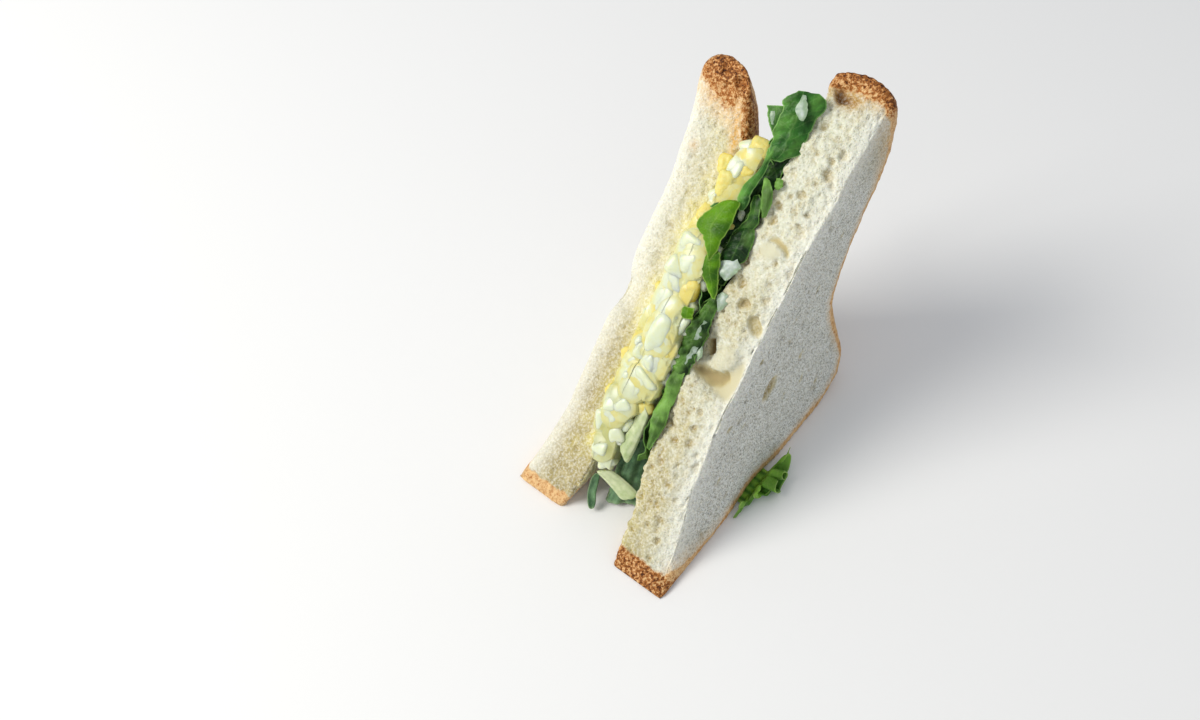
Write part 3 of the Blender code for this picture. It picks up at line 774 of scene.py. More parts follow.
@dataclass
class FrontSlice(BreadSlice):
    """The slice nearest the viewer, which leans and bows towards the filling."""

    node: str = "bread_front"
    slot: str = "bread_front"
    cut_knots: tuple = (
        ((0, 0), (12.7, 11.6), (22.4, 26), (33.6, 39.7), (45.1, 51.4), (58.5, 62.6),
         (68.1, 77.3), (77, 91), (89, 102), (100, 113.5), (111.6, 123.2)),
        ((0.4, 0), (13, 9.8), (19.8, 18.6), (27, 30), (35.5, 37.6), (43.7, 46.4),
         (53.9, 56.4), (60.8, 65.7), (67.6, 73.8), (76.4, 85.4), (88.6, 101),
         (99.3, 113.4), (110.4, 125)),
    )
    leg_knots: tuple = ((*FRONT_LEG, (111.6, 123.2)), (*FRONT_LEG, (110.4, 125.0)))
    hollows: tuple = ((0.472, 0.94, 6.2, 4.0), (0.425, 0.50, 6.0, 2.6), (0.30, 0.95, 5.0, 1.4),
                      (0.958, 0.66, 4, 1.2), (0.464, 0.55, 4, -1))
    arch: Triple = (53.0, 17.0, 2.8)
    phase: float = 0.4
    seed: int = 1
    fillets: Triple = (1.8, 11.0, 1.0)
    crown_fillet: float = 0.6
    melt: tuple[float, int, float] = (0.96, 60, 0.08)
    cut_pits: tuple = (
        (0.36, 0.83, 1.7, 1.2), (0.308, 0.86, 1.5, 1.1), (0.286, 0.7, 1.7, 1.2),
        (0.296, 0.39, 1.6, 1.1), (0.26, 0.17, 2.1, 1.2), (0.206, 0.48, 1.5, 1),
        (0.188, 0.28, 1.3, 0.9), (0.524, 0.65, 1.4, 1.1), (0.598, 0.29, 1.6, 1),
        (0.602, 0.79, 1.4, 1.2), (0.502, 0.1, 1.5, 1.1), (0.844, 0.37, 2, 1.7),
        (0.826, 0.24, 1.5, 1.2), (0.88, 0.31, 1.6, 1.1), (0.66, 0.12, 2.2, 1),
        (0.74, 0.33, 1.3, 0.9), (0.626, 0.39, 1.4, 1), (0.154, 0.62, 1.4, 0.9),
        (0.132, 0.47, 1.2, 0.9), (0.79, 0.6, 1.5, 1), (0.91, 0.8, 1.8, 1.1),
        (0.358, 0.46, 1.3, 0.9), (0.24, 0.75, 1.5, 1.1), (0.22, 0.88, 1.3, 1),
    )
    # Their tan is partly painted shade: under the bowl's lip, in the hole beside it and in the groove
    # round the bubble.
    cut_hollows: tuple[Hollow, ...] = (
        Hollow(((420, 1.02), (430, 0.97), (434, 0.84), (434, 0.67), (438, 0.47),
                (456, 0.33), (476, 0.26), (482, 0.16), (462, 0.09), (434, 0.08),
                (406, 0.13), (396, 0.2), (398, 0.36), (405, 0.63), (412, 0.83)),
               1, 2.8, tan=0.34, smooth=1),
        Hollow(((422, 1), (431, 0.96), (436, 0.83), (436, 0.66), (440, 0.47),
                (450, 0.38), (430, 0.32), (416, 0.4), (410, 0.55), (415, 0.78)),
               1.6, 2.4, tan=0.72, smooth=1),
        Hollow(((478, 0.96), (488, 0.84), (474, 0.76), (458, 0.72), (452, 0.84)),
               2.4, 0.8, tan=0.9, smooth=1),
        Hollow(((431, 0.96), (434, 0.82), (435, 0.67), (440, 0.46), (458, 0.32),
                (480, 0.28), (494, 0.4), (490, 0.62), (472, 0.67), (452, 0.74),
                (446, 0.86)), -0.8, 2.2, tan=0.14, smooth=0.6),
        Hollow(((674, 0.82), (688, 0.76), (696, 0.66), (698, 0.5), (692, 0.4),
                (682, 0.38), (668, 0.52), (664, 0.7)), -0.2, 2.0, tan=0.16, smooth=0.9),
        Hollow(((700, 0.71), (708, 0.64), (708.5, 0.51), (702.5, 0.37), (690, 0.29),
                (681, 0.3), (690, 0.38), (697, 0.5), (698, 0.62), (695, 0.7)),
               1.5, 0.9, tan=0.6, smooth=1),
        Hollow(((964, 0.94), (973, 0.9), (973, 0.8), (967, 0.69), (970, 0.55),
                (966, 0.44), (956, 0.5), (947, 0.67), (950, 0.8)),
               1.6, 1.4, tan=0.66, smooth=0.3),
        Hollow(((963, 0.88), (968, 0.8), (962, 0.69), (958, 0.6), (950, 0.68),
                (951, 0.79)), 1.4, 1.0, tan=0.95, smooth=0.3),
        Hollow(((586, 0.6), (579, 0.48), (567, 0.52), (562, 0.67), (572, 0.74)),
               2.2, 0.8, tan=0.7, smooth=0.5),
        Hollow(((564, 0.44), (564, 0.3), (544, 0.14), (526, 0.14), (532, 0.32),
                (548, 0.44)), 1.9, 0.9, tan=0.55, smooth=0.5),
    )
    face_pits: tuple = (
        (66, 36.7, 5, 3.4, 0.59, 1.7), (84.8, 34.8, 2.2, 1.1, 0.7, 0.9),
        (85.6, 22.7, 1.8, 1, 0.9, 0.8), (94.9, 12.8, 1.6, 0.9, 0.5, 0.8),
        (43.4, 39, 1.4, 1, 0.5, 0.7), (77.8, 58.2, 1, 0.8, 0.5, 0.9),
        (60.1, 55.2, 1.2, 0.9, 0.6, 0.9), (74.3, 24.9, 1.5, 0.9, 0.4, 0.7),
        (50.8, 33.4, 1.3, 0.8, 0.8, 0.7), (90, 62, 1.8, 0.9, 0.9, 0.8),
        (98, 80, 1.6, 0.9, 0.8, 0.7), (36, 21, 1.5, 0.9, 0.6, 0.7),
    )

    def face_y(self, z: Array, through: Array | float) -> Array:
        """Through the thickness, plus a straight lean, plus a bow that is largest below half way."""
        t = held(z / CROWN_HEIGHT)
        return through * SLICE_THICKNESS + 0.0454 * z + 28.0 * t * (1 - t) ** 1.5

    def marks(self, at: Array, through: Array, points: Array, cut_wall: Array) -> dict[str, Array]:
        """A thin browned crown and foot on the cut, a golden hollow under the crown, khaki on the cut with
        painted shade low down, and painted shade on the broad face near both ends.

        Args:
            at: (n,) places along the cut.
            through: (n,) shares through the slice.
            points: (n, 3) places in mm.
            cut_wall: (n,) 1 on the cut, falling off behind its edge.

        Returns:
            The numbers, by name.
        """
        ragged = waves(points, 3.0, 71, 2)
        crown = ease(0.966, 0.981, at + 0.010 * ragged)
        foot = ease(0.050, 0.036, at + 0.012 * ragged)
        hollow = bump(0.960, 0.014, at) * bump(0.66, 0.26, through)
        under_crown = ease(0.952, 0.978, at + 0.008 * ragged) * cut_wall
        low = ease(0.42, 0.30, at) * ease(0.25, 0.75, through + 0.2 * ragged)
        middle = ease(0.66, 0.58, at) * ease(0.48, 0.54, at) * ease(0.15, 0.5, through)
        return {
            "crust": np.maximum(crown, foot) * cut_wall,
            "toast": np.maximum(crown * blend(0.35, 1.0, ease(0.978, 0.997, at)), 0.62 * foot),
            "stain": 0.25 * ease(0.75, 1.0, through) * cut_wall,
            "gold": held(0.7 * hollow * cut_wall + 0.5 * under_crown),
            # Khaki tint mid-way and low on the cut, with painted shade towards the low end.
            "khaki": held(0.7 * middle + 1.0 * low) * cut_wall,
            "worn": (0.6 * ease(0.09, 0.04, at + 0.01 * ragged) * ease(0.35, 0.0, through)
                     + 0.5 * ease(0.955, 0.985, at + 0.01 * ragged)) * cut_wall,
            # Painted shade on the broad face towards the crown and the foot, and low on the cut towards
            # the inner face.
            "dim": np.where(through <= 0, 0.8 * ease(0.80, 0.93, at + 0.01 * ragged)
                            + 0.5 * ease(0.20, 0.05, at),
                            0.42 * ease(0.46, 0.10, at) * ease(0.12, 0.45, through)),
        }


@dataclass
class BackSlice(BreadSlice):
    """The slice behind the filling, whose cut runs out into a broad browned crown."""

    node: str = "bread_back"
    slot: str = "bread_back"
    cut_knots: tuple = (
        ((6.9, 0), (13, 9), (21, 19), (31, 31.5), (41, 42.5), (51, 54),
         (62, 66.5), (73, 78.5), (83, 88.5), (91, 98), (96, 108),
         (99.5, 118.5)),
        ((7.4, 0), (14, 8.6), (23, 17.6), (32.7, 30.1), (41, 41), (50.5, 54),
         (59.6, 66), (68.1, 75.8), (76, 84), (83.6, 93.5), (94.7, 108.1),
         (99.7, 114.4), (105.5, 116)),
    )
    leg_knots: tuple = (
        ((105, 3.8), (108, 11), (106, 21), (100, 36), (96.6, 50),
         (97.6, 65), (100.4, 80), (102.6, 95), (103, 109), (99.5, 118.5)),
        ((107, 3.8), (110.4, 11), (108, 21), (102.6, 36), (100.4, 50),
         (103.4, 65), (107.6, 80), (111, 95), (110.6, 109), (105.5, 116)),
    )
    hollows: tuple = ((0.495, 1.0, 7.5, 9.0), (0.20, 0.9, 6.0, 1.5))
    arch: Triple = (53.0, 17.0, 0.0)
    phase: float = 2.1
    seed: int = 2
    fillets: Triple = (3.4, 1.8, 2.6)
    crown_fillet: float = 3.0
    melt: tuple[float, int, float] = (0.95, 70, 0.35)
    outer_side: float = 1.0
    grain: float = 0.8
    holes: tuple = ((5.2, 0.20, 0.9, 3), (3.0, 0.45, 0.8, 4), (1.9, 0.75, 0.6, 5))
    cut_pits: tuple = ((0.972, 0.20, 2.4, 1.6), (0.980, 0.57, 1.8, 1.2), (0.955, 0.40, 1.5, 0.9),
                       (0.264, 0.65, 1.7, 0.9), (0.352, 0.7, 1.4, 0.8), (0.15, 0.55, 1.5, 0.8))

    def face_y(self, z: Array, through: Array | float) -> Array:
        """Through the thickness from its inner face, leaning forward a little, with a flat bow."""
        t = held(z / BACK_HEIGHT)
        return 45.7 + through * SLICE_THICKNESS - 0.009 * z - 5.2 * (1 - (2 * t - 1) ** 4)

    def marks(self, at: Array, through: Array, points: Array, cut_wall: Array) -> dict[str, Array]:
        """A broad browned crown, a thin browned foot, yellow from the egg beside it, and khaki and painted
        shade towards the low end.

        Args:
            at: (n,) places along the cut.
            through: (n,) shares through the slice.
            points: (n, 3) places in mm.
            cut_wall: (n,) 1 on the cut, falling off behind its edge.

        Returns:
            The numbers, by name.
        """
        ragged = waves(points, 3.0, 81, 3)
        start = blend(0.880, 0.925, through) - 0.08 * ease(0.10, 0.03, through)
        crown = ease(start, start + 0.055, at + 0.03 * ragged)
        crown = crown * (1 - 0.9 * bump(0.17, 0.06, through) * ease(0.975, 0.93, at)) * cut_wall
        side = ease(0.80, 0.86, at + 0.02 * ragged) * (through < 0.04)
        foot = ease(0.032, 0.020, at + 0.010 * ragged) * cut_wall
        rim = 1.2 * ease(0.82, 0.89, at) * bump(0.16, 0.08, through)
        heart = np.maximum(bump(0.972, 0.02, at) * bump(0.2, 0.12, through),
                           bump(0.98, 0.02, at) * bump(0.57, 0.2, through))
        wet = ease(0.72, 0.22, through + 0.16 * ragged) * ease(0.10, 0.18, at)
        wet = wet * blend(0.4, 1.0, ease(0.80, 0.70, at)) * ease(0.93, 0.86, at)
        inside_face = ease(0.02, 0.0, through) * ease(0.90, 0.84, at)
        low = ease(0.56, 0.30, at)
        tan = 0.8 * ease(start - 0.04, start + 0.03, at + 0.03 * ragged)
        tan = tan + 0.7 * bump(0.824, 0.012, at) * bump(0.74, 0.08, through)
        return {
            "crust": np.maximum(np.maximum(crown, side), foot),
            "toast": held(0.25 + 0.5 * heart + 0.4 * ease(0.94, 1.0, at) + 0.25 * side)
                     * np.maximum(crown, side),
            "stain": held(0.9 * wet * cut_wall + 0.5 * inside_face),
            "gold": held(rim * ease(1.0, 0.96, at)),
            # Khaki tint, with painted shade towards the low end.
            "khaki": held(0.9 * low + 0.7 * bump(0.49, 0.03, at)
                             * ease(0.5, 0.9, through)) * cut_wall,
            # Painted shade towards the low end.
            "dim": low * blend(0.4, 1.0, cut_wall),
            "worn": tan * cut_wall,
        }


# The mouth of the cut


@dataclass
class Mouth:
    """The gap between the slices, by place along the cut, distance off a slice and height out."""

    front: FrontSlice
    back: BackSlice
    touch: float = 0.35

    def edges(self, at: Array) -> tuple[Array, Array]:
        """(x, z) of the two inner edges of the cut."""
        at = held(at)
        return smooth_curve(self.front.cut_knots[1], at), smooth_curve(self.back.cut_knots[0], at)

    def room(self, at: Array) -> Array:
        """The gap between the slices in mm."""
        z = np.mean(self.edges(at), axis=0)[:, 1]
        return self.back.face_y(z, 0.0) - self.front.face_y(z, 1.0)

    def off_front(self, at: Array, off: Array, rise: Array) -> Array:
        """Points a distance off the front slice's inner face and a height out of the cut.

        Below 0 the distance runs out over the cut of the front slice instead.

        Args:
            at: (n,) places along the cut.
            off: (n,) mm off the front slice.
            rise: (n,) mm out of the cut.

        Returns:
            (n, 3) points in mm.
        """
        near, far = self.edges(at)
        share = held(off / self.room(at))[:, None]
        through = 1 + np.minimum(off, 0.0) / SLICE_THICKNESS
        flat = np.where(off[:, None] < 0, self.front.cut(held(at), through),
                        blend(near, far, share))
        flat = flat - np.asarray(rise)[:, None] * INTO_CUT
        return np.stack((flat[:, 0], self.front.face_y(flat[:, 1], 1.0) + off, flat[:, 1]), axis=1)

    def across(self, at: Array, share: Array, rise: Array) -> Array:
        """Points at a share of the gap; past share 1 they lie on the back slice's cut.

        Args:
            at: (n,) places along the cut.
            share: (n,) shares of the gap from the front slice.
            rise: (n,) mm out of the cut.

        Returns:
            (n, 3) points in mm.
        """
        near, far = self.edges(at)
        gap = np.minimum(share, 1.0)
        flat = blend(near, far, gap[:, None]) - rise[:, None] * INTO_CUT
        low = self.front.face_y(flat[:, 1], 1.0) + self.touch
        high = self.back.face_y(flat[:, 1], 0.0) - self.touch
        between = np.stack((flat[:, 0], blend(low, high, gap), flat[:, 1]), axis=1)
        through = np.maximum(share - 1.0, 0.0) * self.room(at) / SLICE_THICKNESS
        lying = self.back.cut(held(at), through) - rise[:, None] * INTO_CUT
        over = np.stack((lying[:, 0], self.back.face_y(lying[:, 1], through), lying[:, 1]), axis=1)
        return np.where(share[:, None] > 1.0, over, between)


# Egg salad


class Egg(Enum):
    """What a chopped piece is of."""

    WHITE = "white"
    YOLK = "yolk"


@dataclass
class Chunk:
    """One chopped piece: where a ray from its middle leaves a box of tilted flat cuts.

    The cuts' distances are joined as a high power mean, so that the edges are a little
    round, and yolk breaks up into crumbs that the waves make.
    """

    centre: Array
    size: Array
    axes: Array
    kind: Egg
    planes: Array
    reach: Array
    depth: float
    cuts: int

    @classmethod
    def drawn(cls, centre: Array, size: list[float], turn: float, kind: Egg,
              draw: np.random.Generator, cuts: int) -> "Chunk":
        """A piece of a chance shape.

        Args:
            centre: The piece's middle in mm.
            size: Its length along the cut, width across it and height out of it.
            turn: Turn about the way out of the cut, in radians.
            kind: White is smooth with clean cuts, yolk is crumbly.
            draw: The seeded source of its chance shape.
            cuts: Cells along one side of the ball that it is made from.

        Returns:
            The piece.
        """
        planes = np.concatenate((np.eye(3), -np.eye(3), draw.normal(size=(3, 3))))
        planes = unit(planes + draw.normal(scale=0.12, size=planes.shape))
        reach = np.concatenate((draw.uniform(0.84, 1.04, 6), draw.uniform(0.95, 1.3, 3)))
        across = np.array((0.0, 1.0, 0.0))
        axes = np.array((ALONG_CUT * math.cos(turn) + across * math.sin(turn),
                         across * math.cos(turn) - ALONG_CUT * math.sin(turn), OUT_OF_CUT))
        return cls(centre, np.asarray(size), axes, kind, planes, reach, draw.uniform(), cuts)

    def surface(self) -> Surface:
        """The closed piece.

        Returns:
            The surface, with each point's tone from 0 to 1: deeper where it is sunk.
        """
        rays, faces = unit_ball(self.cuts)
        power = 4.2 if self.kind is Egg.WHITE else 3.4
        facing = np.maximum(rays @ self.planes.T, 0.0) / self.reach
        body = rays * ((facing**power).sum(axis=1) ** (-1 / power))[:, None]
        points = self.centre + (body * (self.size / 2)) @ self.axes
        grain, scale = (0.10, 2.4) if self.kind is Egg.WHITE else (0.32, 1.2)
        points = points + rays @ self.axes * (grain * waves(points, scale, 3, 2))[:, None]
        tone = 0.5 * self.depth**2 + 0.8 * ease(0.75, 0.1, body[:, 2])
        return Surface(points, faces, {"tone": tone})

    def cover(self, points: Array) -> tuple[Array, Array]:
        """How far in mm the dressing over the piece rises from each point, just under its top.

        Args:
            points: (n, 3) places in mm.

        Returns:
            The rises, and how much each point looks like the piece, from 0 to 1.
        """
        local = (points - self.centre) @ self.axes.T
        away = np.hypot(local[:, 0] / (self.size[0] / 2 + 2.4), local[:, 1] / (self.size[1] / 2 + 2.4))
        under = 0.30 - 0.25 * self.depth if self.kind is Egg.WHITE else 0.4
        top = self.size[2] / 2 * (1 - 0.6 * away**2) - under
        level = np.abs(local[:, 2]) < self.size[2]
        rise = np.maximum(top - local[:, 2], 0.0) * ease(1.0, 0.85, away)
        return np.where(level, rise, 0.0), ease(0.85, 0.45, away) * level


@dataclass
class EggSalad:
    """The heap between the leaves and the back slice: creamy egg with chopped pieces in it."""

    mouth: Mouth
    seed: int = 11
    ends: Pair = (0.155, 0.862)
    slants: Pair = (0.0045, 0.0075)
    depth: float = 46.0
    chunks: list[Chunk] = field(default_factory=list)
    spill: tuple = (
        (0.15, 0.96), (0.176, 1.02), (0.228, 1.3), (0.3, 1.44), (0.37, 1.46),
        (0.44, 1.5), (0.51, 1.46), (0.58, 1.44), (0.65, 1.45), (0.7, 1.36),
        (0.746, 1.22), (0.8, 1.1), (0.862, 1),
    )

    # place along the cut, share of the gap, length, width, height, turn in degrees
    whites: tuple = (
        (0.826, 0.91, 5.8, 5.4, 5.2, 5), (0.866, 0.86, 4.6, 4.2, 4, 30),
        (0.762, 1.08, 5, 4.4, 3.4, 40), (0.652, 1.06, 7, 7, 4.8, 10),
        (0.606, 1.12, 6.6, 6.4, 4.6, -15), (0.626, 0.92, 6.4, 6, 4.4, 35),
        (0.536, 1.12, 8.6, 4.6, 4.4, 5), (0.574, 1.12, 6.6, 5.6, 4.2, 20),
        (0.482, 1.34, 5.4, 4.6, 4, 15), (0.464, 0.86, 12.5, 6.6, 5.2, 8),
        (0.498, 0.6, 6.4, 5.4, 4.6, -20), (0.382, 1.09, 5.4, 4.8, 4, 50),
        (0.352, 1.02, 5.4, 4.6, 4.2, 12), (0.36, 0.72, 8.4, 5.2, 4.8, 65),
        (0.34, 0.88, 6.2, 5, 4.4, -30), (0.296, 1.11, 6.2, 5.6, 4.8, 12),
        (0.292, 0.9, 5.4, 5, 4, -35), (0.238, 1.2, 5.4, 4.8, 3.8, 20),
        (0.186, 0.98, 5, 5.6, 4.2, 10), (0.23, 0.84, 5.2, 4.4, 4, 40),
        (0.264, 1.02, 4.6, 4.4, 3.6, 70), (0.42, 1.06, 5.6, 4.6, 4, 0),
        (0.406, 0.6, 6, 5, 4.2, 30), (0.516, 0.86, 6, 5.4, 4.6, 30),
    )
    yolks: tuple = (
        (0.784, 0.89, 8.2, 6.4, 5.6, 15), (0.842, 0.66, 5.4, 5.2, 5, 10),
        (0.864, 0.6, 5.6, 5.4, 4.4, 0), (0.816, 0.66, 5.4, 5, 4.8, 60),
        (0.83, 1.18, 5, 4.4, 3, 30), (0.8, 1.06, 5.4, 4.6, 3.6, 0),
        (0.546, 1.36, 4.6, 4.2, 2.8, 35), (0.44, 1.34, 4.8, 4.2, 2.8, 15),
        (0.436, 0.58, 5, 4.6, 3.8, 0), (0.564, 0.74, 7.8, 6.6, 4.8, 10),
        (0.386, 1.38, 5, 4, 2.8, 40), (0.325, 1.3, 4.6, 4, 2.8, 40),
        (0.724, 1.1, 5.6, 5, 3.6, 80), (0.7, 1.18, 4.6, 4.2, 3, 0),
    )

    def under(self, at: Array) -> Array:
        """How far the egg keeps off the front slice, clear of the leaves between them."""
        return 4.0 + 7.5 * ease(0.36, 0.24, at) + 3.1 * ease(0.44, 0.50, at)

    def edge(self, at: Array) -> Array:
        """The share of the gap, past the back slice's edge, where the egg on its cut ends."""
        knots = np.array(self.spill)
        return np.interp(at, knots[:, 0], knots[:, 1])

    def height(self, at: Array, share: Array) -> Array:
        """How high the heap stands out of the cut: a long hump with a low spot.

        Args:
            at: (n,) places along the cut.
            share: (n,) shares of the gap.

        Returns:
            (n,) mm.
        """
        low = self.under(at) / self.mouth.room(at)
        hump = 1.6 + 3.2 * ease(low, low + 0.45, share) * ease(self.edge(at), 0.85, share)
        hump = hump * ease(self.ends[0] - 0.02, self.ends[0] + 0.03, at)
        hump = hump * ease(self.ends[1] + 0.03, self.ends[1] - 0.02, at)
        return hump - 1.6 * bump(0.725, 0.045, at) * ease(1.15, 0.85, share)

    def core(self) -> Surface:
        """The creamy mass inside: a cube's skin laid between the leaves and the back slice.

        Each of its points has a place along the cut, a depth and a share of the gap.

        Returns:
            The closed surface.
        """
        ball, faces = unit_ball(40)
        cube = ball / np.abs(ball).max(axis=1)[:, None]
        a, b, c = (np.arctan(cube) * 4 / math.pi + 1).T / 2
        low, high = self.ends
        open_at = blend(low, high, a)
        open_share = blend(self.under(open_at) / self.mouth.room(open_at), 1.0, c)
        depth = blend(1.2 - self.height(open_at, open_share), self.depth, b)
        sunk = np.maximum(depth, 0.0)
        at = blend(low + self.slants[0] * sunk, high - self.slants[1] * sunk, a)
        share = blend(self.under(at) / self.mouth.room(at), 1.0, c)
        points = self.mouth.across(at, np.minimum(share, 1.0), -depth)
        return self.lumpy(Surface(points, faces), np.zeros(len(points)), at)

    def mound(self) -> Surface:
        """The egg that shows: a lens from the leaves, over the core, onto the back slice's cut.

        Returns:
            The closed surface.
        """
        shape = (380, 96)
        a, b = unit_grid(*shape)
        at = blend(self.ends[0], self.ends[1], a)
        share = blend(self.under(at) / self.mouth.room(at), self.edge(at) + 0.03, b)
        top = self.height(at, np.minimum(share, self.edge(at))) * np.sqrt(held(1 - b**9))
        wavy = waves(np.stack((a * 90, b * 9, b * 0), axis=1), 4.0, 44, 2)
        share = share + 0.06 * wavy * b**2
        middle = self.mouth.across(at, share, top * 0.5 - 0.35)
        made = leaf_solid(middle, shape, top + 0.5, {"at": at})
        return self.lumpy(made, np.tile(ease(1.0, 0.93, b), 2), made.values["at"])

    def lumpy(self, surface: Surface, share: Array, at: Array) -> Surface:
        """The surface with soft lumps wherever the share isn't 0, laid over the chopped pieces.

        Args:
            surface: A closed surface of dressing.
            share: How much each point moves, from 0 to 1.
            at: Each point's place along the cut.

        Returns:
            The same surface, moved along its normals, with its yellow, and its low olive tint with painted
            shade, worked out.
        """
        points = surface.points
        facing = surface.normals() @ OUT_OF_CUT
        away, number = cells(points, 3.4, 5)
        lumps = 1.2 * (number - 0.35) * ease(0.85, 0.15, away) + 0.3 * waves(points, 1.6, 6, 2)
        points = points + surface.normals() * (lumps * share)[:, None]
        over, near = np.zeros(len(points)), {kind: np.zeros(len(points)) for kind in Egg}
        for chunk in self.chunks:
            rise, like = chunk.cover(points)
            near[chunk.kind] = np.where(rise > over, like, near[chunk.kind] * (like < 0.5))
            over = np.maximum(over, rise)
        over = np.minimum(over, 3.2) * share * ease(0.15, 0.5, facing)
        surface.points = points + OUT_OF_CUT * over[:, None]
        yellow = 0.5 + 0.8 * waves(points, 5.0, 8, 2) + 0.35 * ease(0.74, 0.8, at)
        surface.values = {
            "yellow": held(yellow),
            "like_white": 0.85 * near[Egg.WHITE] * (1 - near[Egg.YOLK]),
            "like_yolk": 0.6 * near[Egg.YOLK],
            # Olive tint with painted shade towards the low end.
            "low": 0.85 * ease(0.40, 0.24, at) * ease(-0.9, 0.5, waves(points, 5.0, 9, 2)),
        }
        return surface

    def placed(self, at: float, share: float, lift: float) -> Array:
        """The place in mm of a piece's middle, a lift above the heap's own height."""
        spot = np.array([at]), np.array([share])
        return self.mouth.across(*spot, self.height(*spot) + lift)[0]

    def scatter(self) -> None:
        """Places the listed pieces, and rows of sunk ones wherever the mouth of the cut is egg."""
        draw = np.random.default_rng(self.seed)
        for kind, table in ((Egg.WHITE, self.whites), (Egg.YOLK, self.yolks)):
            for at, share, *size, turn in table:
                centre = self.placed(at, share, 0.2 - 0.2 * size[2])
                size = [number * 1.18 for number in size]
                self.chunks.append(Chunk.drawn(centre, size, math.radians(turn), kind, draw, 12))
        for middle in np.arange(self.ends[0] + 0.012, self.ends[1] - 0.02, 0.034):
            gap = float(self.mouth.room(np.array([middle]))[0])
            start = float(self.under(np.array([middle]))[0]) / gap
            end = float(self.edge(np.array([middle]))[0])
            for share in np.arange(start + 0.10, end - 0.08, 5.4 / gap):
                at = middle + draw.uniform(-0.011, 0.011)
                share = share + draw.uniform(-0.08, 0.08)
                size = draw.uniform(4.0, 7.0, 3)
                chance = 0.30 + 0.30 * ease(0.72, 0.80, at) + 0.3 * ease(1.0, 1.3, share)
                kind = Egg.YOLK if draw.uniform() < chance else Egg.WHITE
                centre = self.placed(at, share, draw.uniform(-2.4, -1.1))
                turn = draw.uniform(0.0, math.pi)
                self.chunks.append(Chunk.drawn(centre, size, turn, kind, draw, 8))

    def build(self, looks: "Looks") -> None:
        """The dressing, the whites and the yolk, in place of the egg's plain solid.

        Args:
            looks: The finishes.
        """
        self.scatter()
        kinds = {kind: [c.surface() for c in self.chunks if c.kind is kind] for kind in Egg}
        core = joined([self.core(), self.mound()]).made("egg_dressing", looks.dressing.material())
        white = joined(kinds[Egg.WHITE]).made("egg_white_pieces", looks.egg_white.material())
        yolk = joined(kinds[Egg.YOLK]).made("egg_yolk_pieces", looks.egg_yolk.material())
        for piece in (core, white, yolk):
            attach(piece, "root")
        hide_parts("egg_salad")


# Lettuce


@dataclass(frozen=True)
class Blade:
    """A small blade of leaf in the mouth, spread between its two long edges.

    Each edge's knots are (place in thousandths of the cut, mm off the front slice, mm out).
    """

    left: tuple[Triple, ...]
    right: tuple[Triple, ...]
    cup: float = 0.5
    ruffle: float = 0.25
    crinkle: float = 0.1
    thickness: float = 0.55
    # Painted light at the left and right edges, blended across the blade.
    light: Pair = (0.3, 0.3)
    seed: int = 1
    shape: tuple[int, int] = (80, 30)
    fray: float = 0.35

    def surface(self, mouth: Mouth) -> Surface:
        """The closed blade, cupped between its edges, ruffled along them and crinkled all over.

        Args:
            mouth: Gives each point its place in mm.

        Returns:
            The surface, with its veins, its painted rim highlight, and painted light and shade.
        """
        a, b = unit_grid(*self.shape)
        left, right = (smooth_curve(np.array(edge) / (1000, 1, 1) * (CUT_LENGTH, 1, 1), a)
                       for edge in (self.left, self.right))
        for number, edge in enumerate((left, right)):
            edge[:, 1] += self.fray * waves(edge, 1.7, self.seed + 50 + number, 2)
            edge[:, 0] += self.fray * waves(edge, 2.1, self.seed + 60 + number, 2)
        span = np.linalg.norm(right - left, axis=1)
        length = np.linalg.norm((left + right)[-1] - (left + right)[0]) / 2
        local = blend(left, right, b[:, None])
        side = np.abs(2 * b - 1)
        bend = self.cup * (1 - side**2) * np.minimum(span / 5, 1)
        bend = bend + self.ruffle * side**1.5 * np.sin(a * 15 + 2 * b + self.seed)
        bend = bend + self.crinkle * waves(local, 1.8, self.seed + 40, 2)
        local = local + np.array((0.0, 0.0, 1.0)) * bend[:, None]
        points = mouth.off_front(local[:, 0] / CUT_LENGTH, local[:, 1], local[:, 2])
        to_edge = np.minimum(np.minimum(b, 1 - b) * span, np.minimum(a, 1 - a) * length)
        ribs = np.abs(((a * 7 - side * 0.9) % 1.0) - 0.5) * 2
        veins = np.maximum(0.5 * ease(0.10, 0.0, side), 0.4 * ease(0.88, 1.0, ribs))
        # Patches of painted light and painted shade; the rim gets a painted highlight.
        patches = waves(local, 4.0, self.seed + 70, 2)
        values = {"vein": veins, "rim": ease(0.7, 0.1, to_edge), "thin": ease(2.2, 0.2, to_edge),
                  "light": held(blend(*self.light, b) + 0.5 * patches),
                  "shade": held(0.25 - 0.9 * patches)}
        thick = self.thickness * blend(0.4, 1.0, ease(0.0, 1.6, to_edge))
        return leaf_solid(points, self.shape, thick, values)


